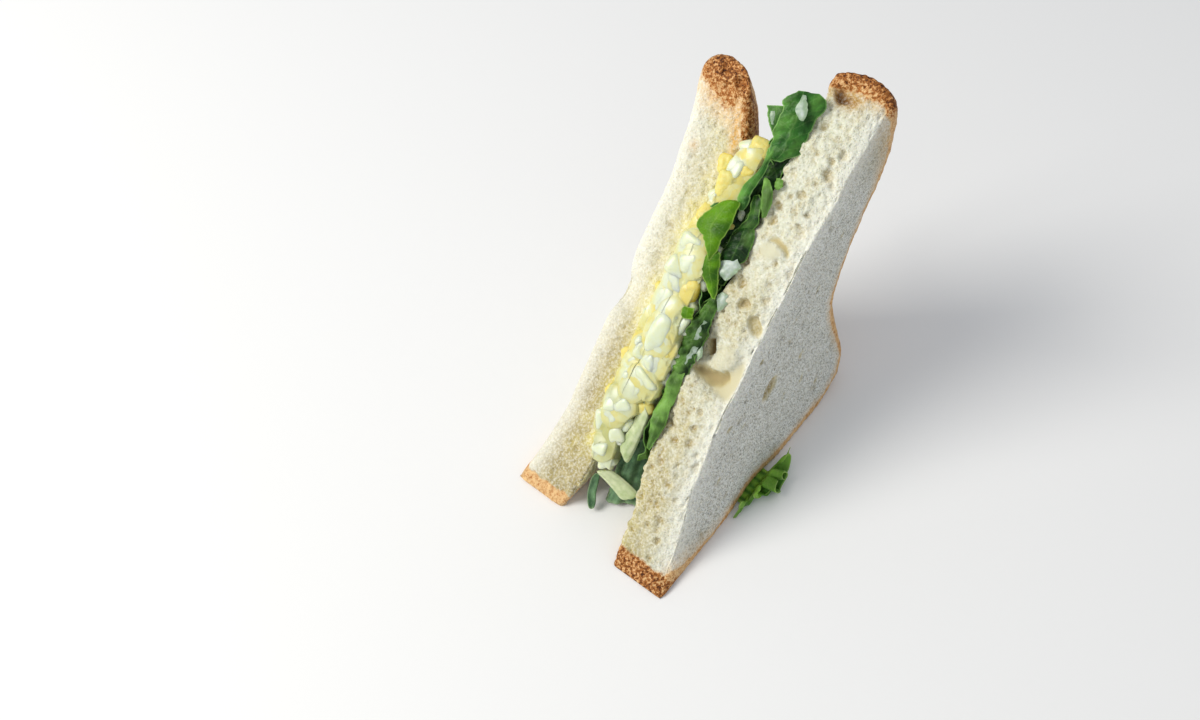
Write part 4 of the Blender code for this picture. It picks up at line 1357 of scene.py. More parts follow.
@dataclass
class Lettuce:
    """The leaves between the front slice and the egg, and the ones that hang out below."""

    mouth: Mouth
    thickness: float = 0.55
    by_front: tuple[Blade, ...] = (
        Blade(((704, 4.2, 1.6), (688, 5, 2), (664, 5.4, 2.2), (642, 5.3, 2),
               (630, 4.2, 1.2)),
              ((706, 0.2, 1.8), (694, -1.4, 1.9), (682, -2, 1.8), (660, -2.4, 1.7),
               (644, -2.2, 1.5), (632, -0.8, 1.2)),
              cup=0.9, ruffle=0.3, crinkle=0.5, light=(0.0, 0.1), seed=3, shape=(70, 50)),
        Blade(((768, 5, 1.6), (752, 4.3, 2.4), (722, 3.2, 2.4), (702, 4.4, 2),
               (690, 3.6, 1.4)),
              ((769, 3.5, 1.6), (764, 2.4, 2.4), (736, 0.2, 2.6), (714, -0.8, 2.3),
               (702, -0.2, 1.8), (689, 1.8, 1.3)),
              light=(0.2, 0.0), seed=5),
        Blade(((803, 4.3, 2.4), (798, 3.9, 3), (780, 2.9, 3.4), (752, 1.1, 3.2),
               (728, -0.9, 2.4)),
              ((802, 3.6, 2.4), (784, 0.7, 2.8), (762, -1.3, 2.4), (738, -1.9, 2.1),
               (726, -1.3, 1.9)),
              cup=0.6, light=(1.0, 0.6), seed=7),
        # A dark leaf deep in the gap that closes it off; its darkness is partly painted shade.
        Blade(((868, 7, 2.2), (845, 9, 2.6), (800, 8.6, 2.6), (750, 9.2, 2.8),
               (700, 8.8, 2.8), (640, 7.6, 2.4), (585, 6.2, 2)),
              ((872, 1.6, 0.2), (845, 0.6, -0.4), (800, 0.6, -0.8), (750, 0.6, -0.8),
               (700, 0.6, -0.8), (640, 0.6, -0.5), (585, 0.8, 0)),
              cup=-1.2, ruffle=0.3, crinkle=0.7, light=(0.0, 0.0), seed=15, shape=(140, 50)),
        Blade(((801, 0.9, 1.2), (790, 0.4, 1.7), (781, -0.2, 1.3)),
              ((800, -1.2, 1.2), (790, -2.1, 1.5), (782, -1, 1.2)),
              cup=0.4, light=(0.9, 1.0), seed=8, shape=(36, 20)),
        Blade(((562, 2, 1.2), (538, 3.2, 2.2), (505, 4.2, 2.6), (472, 4.8, 2.6),
               (440, 4.6, 2.2), (410, 3.8, 1.8), (390, 2.6, 1)),
              ((562, -0.2, 0.9), (538, -0.9, 1.2), (510, -1.3, 1.2), (480, -1.5, 1.1),
               (448, -1.6, 0.9), (418, -1.3, 0.8), (388, -0.4, 0.5)),
              cup=0.9, ruffle=0.5, crinkle=1.2, light=(0.6, 0.15), seed=2, shape=(120, 50), fray=0.6),
        Blade(((430, 3.6, 1.2), (390, 3.2, 2.1), (354, 2.9, 2.3), (312, 3.4, 2.1),
               (280, 2.4, 1.8), (248, 1, 1)),
              ((430, -0.3, 0.9), (390, -0.8, 1.2), (354, -1.2, 1.3), (312, -1.4, 1.2),
               (272, -1, 0.9), (246, -0.3, 0.6)),
              cup=0.6, ruffle=0.5, crinkle=0.6, light=(0.9, 0.5), seed=4, shape=(110, 30)),
    )
    by_egg: tuple[Blade, ...] = (
        Blade(((836, 4.6, 3.4), (850, 5.6, 4.4), (864, 6.4, 4.8), (890, 7.6, 5.2),
               (910, 7.5, 5.6), (930, 7.6, 5.8), (948, 8.5, 5.4), (960, 7.5, 5),
               (965, 5.6, 4.8)),
              ((834, 2, 2.4), (850, -1.5, 1.6), (874, -1.9, 1.4), (894, -1.8, 1.5),
               (912, -1.5, 1.7), (926, -2, 1.9), (938, -2.8, 2), (948, -1.9, 2.4),
               (956, 0.6, 3.2), (962, 3.4, 4.2)),
              cup=0.9, ruffle=0.45, crinkle=0.35, light=(0.25, 0.05), seed=6, shape=(120, 70),
              fray=0.6),
        Blade(((943, 12.9, 4.6), (928, 11.8, 5), (906, 9.8, 5), (886, 7.4, 4.6)),
              ((937, 7.2, 4.6), (926, 6.6, 4.8), (902, 6.4, 4.8), (884, 6.6, 4.4)),
              cup=0.3, crinkle=0.15, light=(0.45, 0.15), seed=9, shape=(50, 40)),
        Blade(((860, 7.1, 4.2), (832, 6.3, 4.6), (812, 6.6, 4.7), (799, 7.8, 4.7),
               (784, 8.8, 4.6), (764, 8.5, 4.4), (736, 6.4, 3.8)),
              ((878, 3.6, 4), (856, 4, 4.2), (838, 4.6, 4.2), (820, 4.4, 4.1),
               (796, 5, 3.8), (776, 5.2, 3.6), (754, 5, 3.4), (738, 5.4, 3.2)),
              cup=0.7, ruffle=0.15, crinkle=0.15, light=(0.55, 0.1), seed=1, shape=(90, 34)),
        Blade(((770, 12.2, 4.8), (756, 14.2, 5), (742, 15.4, 5)),
              ((769, 11, 4.8), (754, 12, 5), (741, 13.6, 5)),
              cup=0.3, light=(0.1, 0.0), seed=12, shape=(40, 24)),
        Blade(((290, 16.6, 3.4), (276, 17, 3.8), (262, 15.8, 3.4)),
              ((288, 14, 3.4), (274, 13.2, 3.8), (260, 12.6, 3.2)),
              cup=0.3, light=(0.1, 0.0), seed=13, shape=(40, 24)),
    )
    lobes: tuple[Blade, ...] = (
        Blade(((758, 8.6, 6.2), (757.5, 10.8, 6.4), (748, 13.2, 6.6), (732, 14.9, 6.6),
               (713, 15.9, 6.5), (698, 15.6, 6.4), (689, 13.2, 6.4), (673, 11.1, 6.3),
               (650, 8.8, 6), (633, 7.2, 5.6)),
              ((758.5, 7.8, 6.2), (752, 6.8, 6), (730, 6.1, 5.6), (704, 5.8, 5.4),
               (686, 6.2, 5.4), (654, 6.2, 5.4), (632, 6.6, 5.5)),
              cup=1.0, ruffle=0.15, crinkle=0.08, light=(0.85, 0.55), seed=2, shape=(100, 56)),
        Blade(((640, 8.9, 4.4), (628, 9.2, 4.6), (612, 8.5, 4.5), (592, 5.9, 4.2),
               (570, 2.8, 3.6), (560, 1.3, 3)),
              ((660, 7, 4.6), (648, 5.2, 4.4), (630, 4, 4), (616, 3.4, 3.6),
               (604, 2.8, 3.4), (580, 1.3, 3), (558, 0.5, 2.6)),
              cup=0.7, ruffle=0.1, light=(1.0, 0.35), seed=3),
        Blade(((534, 8.2, 4.6), (522, 7.8, 5), (510, 6.8, 4.6)),
              ((533, 4.6, 4), (522, 4.2, 4.3), (512, 4, 4)),
              cup=0.6, crinkle=0.4, light=(1.0, 0.6), seed=10, shape=(40, 30)),
    )
    smears: tuple[Blade, ...] = (
        Blade(((956, 4.1, 5.5), (946, 3.9, 6.1), (930, 3.9, 6.3), (918, 3, 6.2),
               (908, 1.3, 5.7)),
              ((955, 3.3, 5.4), (946, 2.2, 5.8), (928, 0.8, 5.8), (918, 0.4, 5.6),
               (907, 0.6, 5.4)),
              cup=0.1, ruffle=0.0, crinkle=0.15, thickness=0.3, seed=2, shape=(60, 34), fray=0.5),
        Blade(((640, 2.4, 2.6), (632, 4.5, 2.8), (616, 3.7, 2.9), (602, 1.9, 2.6),
               (595, 0.6, 2)),
              ((643, 0.2, 2.4), (638, -0.9, 2.2), (631, -2.2, 1.8), (612, -1, 1.9),
               (598, 0, 1.7)),
              cup=0.1, ruffle=0.2, crinkle=0.35, thickness=0.25, seed=4, shape=(60, 50), fray=0.45),
        Blade(((575, -0.2, 1.6), (566, 0.6, 1.9), (552, -0.1, 1.9), (538, -1.2, 1.4)),
              ((574, -2, 1), (564, -3, 1), (551, -2.6, 1), (540, -1.9, 1)),
              cup=0.1, ruffle=0.1, crinkle=0.3, thickness=0.3, seed=5, shape=(50, 36), fray=0.5),
        Blade(((515, 1, 2.9), (486, 1.2, 3.4), (456, 1, 3.1), (424, 0.6, 2.4)),
              ((513, -0.2, 2.3), (484, -0.4, 2.3), (454, -0.6, 2), (422, -0.2, 1.9)),
              cup=0.1, ruffle=0.1, crinkle=0.3, thickness=0.3, seed=3, shape=(60, 24), fray=0.7),
        Blade(((470, -0.4, 1.2), (454, -1, 1.7), (438, -1.2, 1.2)),
              ((468, -1.6, 1), (452, -2.8, 1.2), (438, -2.2, 1)),
              cup=0.3, ruffle=0.1, crinkle=0.3, thickness=0.5, seed=6, shape=(40, 24)),
        Blade(((930, 10.8, 5.4), (918, 10.2, 5.7), (905, 9, 5.4)),
              ((929, 9.6, 5.4), (916, 8.8, 5.6), (904, 8.2, 5.3)),
              cup=0.2, ruffle=0.0, crinkle=0.2, thickness=0.3, seed=7, shape=(36, 20)),
    )

    def solid(self, points: Array, shape: tuple[int, int], along: Array, across: Array,
              light: Array | float = 0.0) -> Surface:
        """A leaf from its sheet of points, with numbers for its veins, its painted rim highlight, and
        painted light and shade.

        Args:
            points: (rows * columns, 3) points in mm.
            shape: Rows and columns.
            along: Number from 0 to 1 along the leaf at each point.
            across: Number from 0, at the edge that shows, to 1, deep inside.
            light: How much painted light the leaf gets there.

        Returns:
            The closed surface.
        """
        edge = held(np.minimum(np.minimum(along, 1 - along) * 8, across * 6))
        thick = self.thickness * blend(0.45, 1.0, edge)
        side_vein = np.abs(((along * 13 + across * 2.2) % 1.0) - 0.5) * 2
        veins = 0.5 * ease(0.88, 1.0, side_vein)
        patches = waves(points, 5.5, 23, 2)
        # Painted rim highlight, and patches of painted shade and painted light.
        values = {"vein": veins, "rim": 1 - edge, "shade": held(0.3 - 0.9 * patches),
                  "light": held(light + 0.3 * patches)}
        return leaf_solid(points, shape, thick, values)

    def along_front(self, ends: Pair, slants: Pair, depth: float,
                    out: float, a: Array, b: Array) -> tuple[Array, Array]:
        """A sheet that narrows as it goes in.

        Args:
            ends: Places along the cut where it starts and ends.
            slants: How much each end moves in for each mm of depth.
            depth: How deep it goes in mm.
            out: How far it stands out of the cut in mm.
            a: (n,) shares along the sheet.
            b: (n,) shares into it.

        Returns:
            (n,) places along the cut and (n,) depths in mm.
        """
        deep = blend(-out, depth, b**1.6)
        sunk = np.maximum(deep, 0.0)
        at = blend(ends[0] + slants[0] * sunk, ends[1] - slants[1] * sunk, a)
        return at, deep

    def long_leaf(self) -> Surface:
        """The dark leaf that lines the front slice: a sheet with long waves and crinkled edge.

        Returns:
            The closed surface.
        """
        shape = (300, 46)
        a, b = unit_grid(*shape)
        at, deep = self.along_front((0.21, 0.945), (0.003, 0.0086), 44.0, 1.2, a, b)
        fray = ease(9.0, 0.0, deep)
        notch = np.sin(at * 52) + 0.6 * np.sin(at * 91 + 1) + 0.5 * np.sin(at * 190 + 2)
        rise = -deep + 0.9 * fray * notch - 4.5 * bump(0.815, 0.026, at) * fray
        rise = rise - 1.5 * fray * ease(0.56, 0.62, at) * ease(0.80, 0.74, at)
        wave = 0.5 + 0.5 * np.sin(at * 74 + deep * 0.35)
        crinkle = 0.35 * np.sin(at * 236 + deep * 0.8) + 0.3 * np.sin(at * 151 - deep * 0.5)
        off = 1.05 + blend(0.4, 1.9, fray) * wave + fray * (0.9 + crinkle)
        points = self.mouth.off_front(at, off, rise)
        return self.solid(points, shape, a, b, 0.15 * fray)

    def upper_leaf(self) -> Surface:
        """The broad leaf beside the egg, whose edge folds out over it towards the crown.

        Returns:
            The closed surface.
        """
        shape = (240, 56)
        a, b = unit_grid(*shape)
        at, deep = self.along_front((0.47, 0.93), (0.003, 0.0076), 36.0, 1.6, a, b)
        fray = ease(10.0, 0.0, deep)
        rise = -deep + 0.9 * fray * np.sin(at * 44 + 2) + 0.4 * fray * np.sin(at * 130)
        rise = rise - 3.5 * bump(0.812, 0.03, at) * fray
        rise = rise - 1.5 * fray * ease(0.58, 0.64, at) * ease(0.80, 0.74, at)
        wave = 0.5 + 0.5 * np.sin(at * 66 + 1.2 + deep * 0.3)
        lobe = 2.5 * ease(0.80, 0.88, at) * fray + 1.2 * bump(0.60, 0.05, at) * fray
        crinkle = 0.3 * np.sin(at * 212 + deep) * fray
        off = 3.9 + blend(0.6, 1.8, fray) * wave + lobe + crinkle
        points = self.mouth.off_front(at, off, rise)
        return self.solid(points, shape, a, b, 0.25 * fray)

    def hanging_leaf(self) -> Surface:
        """The blue-green leaf that hangs low in the cut: a sheet between two edges, folded.

        Returns:
            The closed surface.
        """
        shape = (60, 90)
        a, b = unit_grid(*shape)
        top = blend(np.array((26.2, 35.4, 22.6)), np.array((31.8, 28.4, 30.5)), a[:, None])
        foot = blend(np.array((17.6, 35.4, 1.4)), np.array((22.5, 24.0, 2.4)), a[:, None])
        fold = 0.9 * np.sin(a * 8 + b * 3) * ease(0.0, 0.4, b) + 0.8 * (2 * a - 1) ** 2
        fold = fold + 0.25 * np.sin(a * 23 + b * 9) + 0.12 * np.sin(b * 37)
        points = blend(top, foot, b[:, None]) + np.array((0.92, 0.22, -0.34)) * fold[:, None]
        points[:, 2] = np.maximum(points[:, 2], 0.6)
        return self.solid(points, shape, b, a, 0.1)

    def hanging_strip(self) -> Surface:
        """The dark strip of the same leaf that ends beside the rib: a narrow folded ribbon.

        Returns:
            The closed surface.
        """
        shape = (60, 16)
        a, b = unit_grid(*shape)
        line = smooth_curve(((19.2, 39.6, 12.5), (16.6, 39.4, 7.5), (14.2, 38.2, 3.6),
                             (12.6, 36.8, 1.6)), a)
        half = 1.5 * np.sqrt(held(1 - np.abs(2 * a - 1) ** 5)) + 0.15
        side = np.array((0.35, -0.75, 0.35))
        fold = np.array((-0.5, 0.0, 0.6)) * (0.9 * (2 * b - 1) ** 2 + 0.2 * np.sin(a * 14))[:, None]
        points = line + side * (half * (2 * b - 1))[:, None] + fold
        points[:, 2] = np.maximum(points[:, 2], 0.5)
        return self.solid(points, shape, a, b, 0.0)

    def floor_frill(self) -> Surface:
        """The bright curly leaf that comes out from under the front slice and widens in folds.

        Returns:
            The closed surface.
        """
        shape = (220, 64)
        a, b = unit_grid(*shape)
        out = held((b - 1 / 3) * 1.5)
        under, outside = blend(45.0, 61.0, a), blend(38.5, 70.0, a)
        x = blend(under, outside, ease(0.0, 1.0, out))
        hump = bump(58.0, 9.0, outside)
        reach = 1.6 + (7.2 + 0.8 * np.sin(a * 26) + 0.4 * np.sin(a * 71)) * hump
        y = blend(6.0, -1.2, held(b * 3)) - reach * out
        free = ease(-0.8, -4.0, y)
        noise = 1.2 * waves(np.stack((a * 40, b * 14, b * 0), axis=1), 6.0, 27, 2)
        fold = np.sin(a * 33 + b * 4 + noise)
        lift = free * (3.6 + 2.9 * fold + 0.6 * np.sin(a * 83 + b * 6))
        curl = 1.4 * ease(0.8, 1.0, b) * free
        x = x + 0.55 * lift * np.cos(a * 33 + b * 4 + noise)
        points = np.stack((x, y + curl, 0.5 + lift), axis=1)
        # Painted light on the crests of the folds, and painted shade between them.
        return self.solid(points, shape, a, 1 - b, blend(0.0, 0.75, held(0.5 + 0.5 * fold)))

    def stalk(self, start: Array, end: Array, width: float, thick: float, seed: int) -> Surface:
        """A pale piece of rib: a cube's skin stretched from start to end, its section made oval.

        A place (y, z) of the square section goes to (y sqrt(1 - z z / 2), z sqrt(1 - y y / 2)),
        which is round, and fine ridges run along it.

        Args:
            start: (3,) one end in mm.
            end: (3,) the other end in mm.
            width: Width in mm.
            thick: Thickness in mm.
            seed: Another seed gives other ridges.

        Returns:
            The closed surface, with its tone.
        """
        ball, faces = unit_ball(44)
        cube = ball / np.abs(ball).max(axis=1)[:, None]
        x, y, z = (np.arctan(cube) * 4 / math.pi).T
        y, z = y * np.sqrt(1 - z * z / 2), z * np.sqrt(1 - y * y / 2)
        share, turn = (x + 1) / 2, np.arctan2(z, y)
        along = end - start
        side = np.cross(along, -OUT_OF_CUT)
        side = side / np.linalg.norm(side)
        out = np.cross(side, along / np.linalg.norm(along))
        ridge = (1 + 0.02 * np.sin(turn * 9 + seed)) * blend(0.8, 1.1, share)
        ridge = ridge * np.sqrt(1 - 0.35 * np.abs(x) ** 12)
        skew = 0.10 * y[:, None] * along
        ragged = 0.4 * waves(np.stack((x * 3, y * width, z * thick), axis=1), 1.6, seed, 2)
        points = start + (share + 0.03 * ragged)[:, None] * along + skew
        points = points + (y * width / 2 * ridge)[:, None] * side
        points = points + (z * thick / 2 * ridge + 0.8 * np.sin(math.pi * share))[:, None] * out
        tone = 0.2 + 0.1 * np.sin(turn * 9 + seed) + 0.5 * ragged + 0.6 * ease(0.5, 1.0, share)
        return Surface(points, faces[:, ::-1], {"tone": tone})

    def blades(self, rows: tuple[Blade, ...]) -> list[Surface]:
        """The surfaces of a row of blades."""
        return [blade.surface(self.mouth) for blade in rows]

    def smeared(self, material: Material) -> None:
        """The white dressing that lies on the leaves, which belongs to the egg.

        Args:
            material: The material of the dressing there.
        """
        made = joined(self.blades(self.smears))
        patchy = waves(made.points, 2.0, 17, 2)
        made.values["tone"] = np.clip(1.3 * made.values["thin"] + 0.9 * patchy, 0.0, 1.6)
        piece = made.made("egg_dressing_smears", material)
        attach(piece, "root")

    def build(self, looks: "Looks") -> None:
        """All the leaves and rib pieces, each in place of its plain solid.

        Args:
            looks: The finishes.
        """
        self.smeared(looks.smear.material())
        long_leaf = joined([self.long_leaf(), *self.blades(self.by_front)])
        upper_leaf = joined([self.upper_leaf(), *self.blades(self.by_egg)])
        hanging = joined([self.hanging_leaf(), self.hanging_strip()])
        pale = looks.stalk.material()
        leaves = (
            ("lettuce_leaf_long", long_leaf, looks.leaf_dark.material()),
            ("lettuce_leaf_upper", upper_leaf, looks.leaf_mid.material()),
            ("leaf_lobe", joined(self.blades(self.lobes)), looks.leaf_bright.material()),
            ("lettuce_leaf_lower", hanging, looks.leaf_blue.material()),
            ("lettuce_frill", self.floor_frill(), looks.leaf_frill.material()),
            ("stalk_piece_a", self.stalk(np.array((34.4, 32.0, 39.1)), np.array((23.6, 32.6, 25.0)),
                                         5.0, 2.6, 1), pale),
            ("stalk_piece_b", self.stalk(np.array((19.4, 37.5, 16.0)), np.array((19.7, 26.4, 9.8)),
                                         5.5, 2.4, 2), pale),
        )
        for node, surface, material in leaves:
            piece = surface.made(f"{node}_fresh", material)
            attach(piece, "root")
            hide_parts(node)


# Finishes


class NodeBench:
    """Adds shader nodes to a tree, laid out from left to right as they are made."""

    def __init__(self, tree: NodeTree) -> None:
        """Starts at the left of the tree."""
        self.tree = tree
        self.column = 0

    def add(self, kind: str, **inputs: object) -> Node:
        """A node of that kind with its inputs set or linked.

        Args:
            kind: The node's type, without the leading ShaderNode.
            **inputs: Input names with underscores for spaces, or N and an input's number: a value,
                or a socket to link. A name in small letters is a setting of the node.

        Returns:
            The new node.
        """
        node = self.tree.nodes.new(f"ShaderNode{kind}")
        node.location = (self.column * 190, -(self.column % 4) * 160)
        self.column += 1
        for key, value in inputs.items():
            if key[0].islower():
                setattr(node, key, value)
        self.fill(node, **{key: value for key, value in inputs.items() if key[0].isupper()})
        return node

    def fill(self, node: Node, **inputs: object) -> None:
        """Links or sets inputs of a node, which are named as in add."""
        for key, value in inputs.items():
            self.feed(node.inputs[int(key[1:]) if key[1:].isdigit() else key.replace("_", " ")], value)

    def feed(self, socket: NodeSocket, value: object) -> None:
        """Links the socket to another one, or sets its value.

        Args:
            socket: The input.
            value: A socket, a number, three numbers or a colour.
        """
        if isinstance(value, NodeSocket):
            self.tree.links.new(value, socket)
        elif isinstance(value, tuple) and socket.type == "RGBA":
            socket.default_value = (*value, 1.0)
        else:
            socket.default_value = value

    def sum(self, how: str, a: object, b: object, clamp: bool = False) -> NodeSocket:
        """Two values put together by ADD, MAXIMUM or SUBTRACT."""
        return self.add("Math", operation=how, use_clamp=clamp, N0=a, N1=b).outputs[0]

    def times(self, a: object, b: object, clamp: bool = False) -> NodeSocket:
        """One value times another."""
        return self.sum("MULTIPLY", a, b, clamp)

    def noise(self, place: object, scale: object, detail: float) -> NodeSocket:
        """Smooth noise from 0 to 1."""
        return self.add("TexNoise", Vector=place, Scale=scale, Detail=detail).outputs["Fac"]

    def mixed(self, share: object, a: object, b: object, how: str = "MIX") -> NodeSocket:
        """Two colours mixed by a share."""
        return self.add("Mix", data_type="RGBA", blend_type=how, N0=share, N6=a, N7=b).outputs[2]

    def laid(self, base: NodeSocket, share: object, tint: str) -> NodeSocket:
        """A colour with a share of a tint, such as e9dcc2, laid over it."""
        return self.mixed(share, base, colour(tint))

    def spread(self, value: object, low: float, high: float, to: Pair = (0.0, 1.0)) -> NodeSocket:
        """A value mapped from one range to another and held there."""
        return self.add("MapRange", clamp=True, N0=value, N1=low, N2=high, N3=to[0], N4=to[1]).outputs[0]

    def value_of(self, name: str) -> NodeSocket:
        """A number that the mesh keeps at its points."""
        return self.add("Attribute", attribute_name=name).outputs["Fac"]


def colour(text: str) -> Triple:
    """A colour as the screen shows it, such as e9dcc2, as the linear numbers that shaders use."""
    parts = (int(text[i:i + 2], 16) / 255 for i in (0, 2, 4))
    return tuple(c / 12.92 if c <= 0.04045 else ((c + 0.055) / 1.055) ** 2.4 for c in parts)


def new_group(name: str, inputs: dict[str, float], outputs: tuple[str, ...]
              ) -> tuple[NodeBench, Node, Node]:
    """An empty shader group whose inputs and outputs are numbers.

    Args:
        name: The group's name.
        inputs: Names and default values of its inputs.
        outputs: Names of its outputs.

    Returns:
        A bench for its nodes, and its input and output nodes.
    """
    tree = bpy.data.node_groups.new(name, "ShaderNodeTree")
    for key, value in inputs.items():
        socket = tree.interface.new_socket(key, in_out="INPUT", socket_type="NodeSocketFloat")
        socket.default_value = value
    for key in outputs:
        tree.interface.new_socket(key, in_out="OUTPUT", socket_type="NodeSocketFloat")
    source, target = tree.nodes.new("NodeGroupInput"), tree.nodes.new("NodeGroupOutput")
    source.location, target.location = (-400, 0), (3200, 0)
    return NodeBench(tree), source, target


def new_material(name: str) -> tuple[Material, NodeBench, Node]:
    """A plain material.

    Args:
        name: The material's name.

    Returns:
        The material, a bench for its nodes, and its shader.
    """
    made = bpy.data.materials.new(name)
    made.use_nodes = True
    return made, NodeBench(made.node_tree), made.node_tree.nodes["Principled BSDF"]


@dataclass(frozen=True)
class CrumbPattern:
    """Fine holes and grain of bread, which both slices use."""

    name: str = "crumb_pattern"

    def group(self) -> NodeTree:
        """The group: cell noise at two scales gives holes, and noise gives grain.

        Returns:
            The group, whose outputs are Holes, Grain and Height.
        """
        if self.name in bpy.data.node_groups:
            return bpy.data.node_groups[self.name]
        bench, source, target = new_group(self.name, {"Holes per mm": 0.9, "Openness": 0.5},
                                          ("Holes", "Grain", "Height"))
        place = bench.add("TexCoord").outputs["Object"]
        warp = bench.add("TexNoise", Vector=place, Scale=900.0, Detail=2.0).outputs["Color"]
        warped = bench.add("VectorMath", operation="MULTIPLY_ADD", N0=warp,
                           N1=(0.0003, 0.0003, 0.0003), N2=place).outputs[0]
        scale = bench.times(source.outputs["Holes per mm"], 1000.0)
        large = bench.add("TexVoronoi", Vector=warped, Scale=scale, Randomness=1.0).outputs[0]
        finer = bench.times(scale, 2.1)
        small = bench.add("TexVoronoi", Vector=warped, Scale=finer, Randomness=1.0).outputs[0]
        big_hole = bench.spread(large, 0.36, 0.10)
        small_hole = bench.spread(small, 0.44, 0.12)
        holes = bench.sum("MAXIMUM", big_hole, bench.times(small_hole, 0.7))
        holes = bench.times(holes, source.outputs["Openness"], True)
        grain = bench.noise(place, 1300.0, 3.0)
        height = bench.sum("SUBTRACT", bench.times(grain, 0.6), holes)
        bench.fill(target, Holes=holes, Grain=grain, Height=height)
        return bench.tree


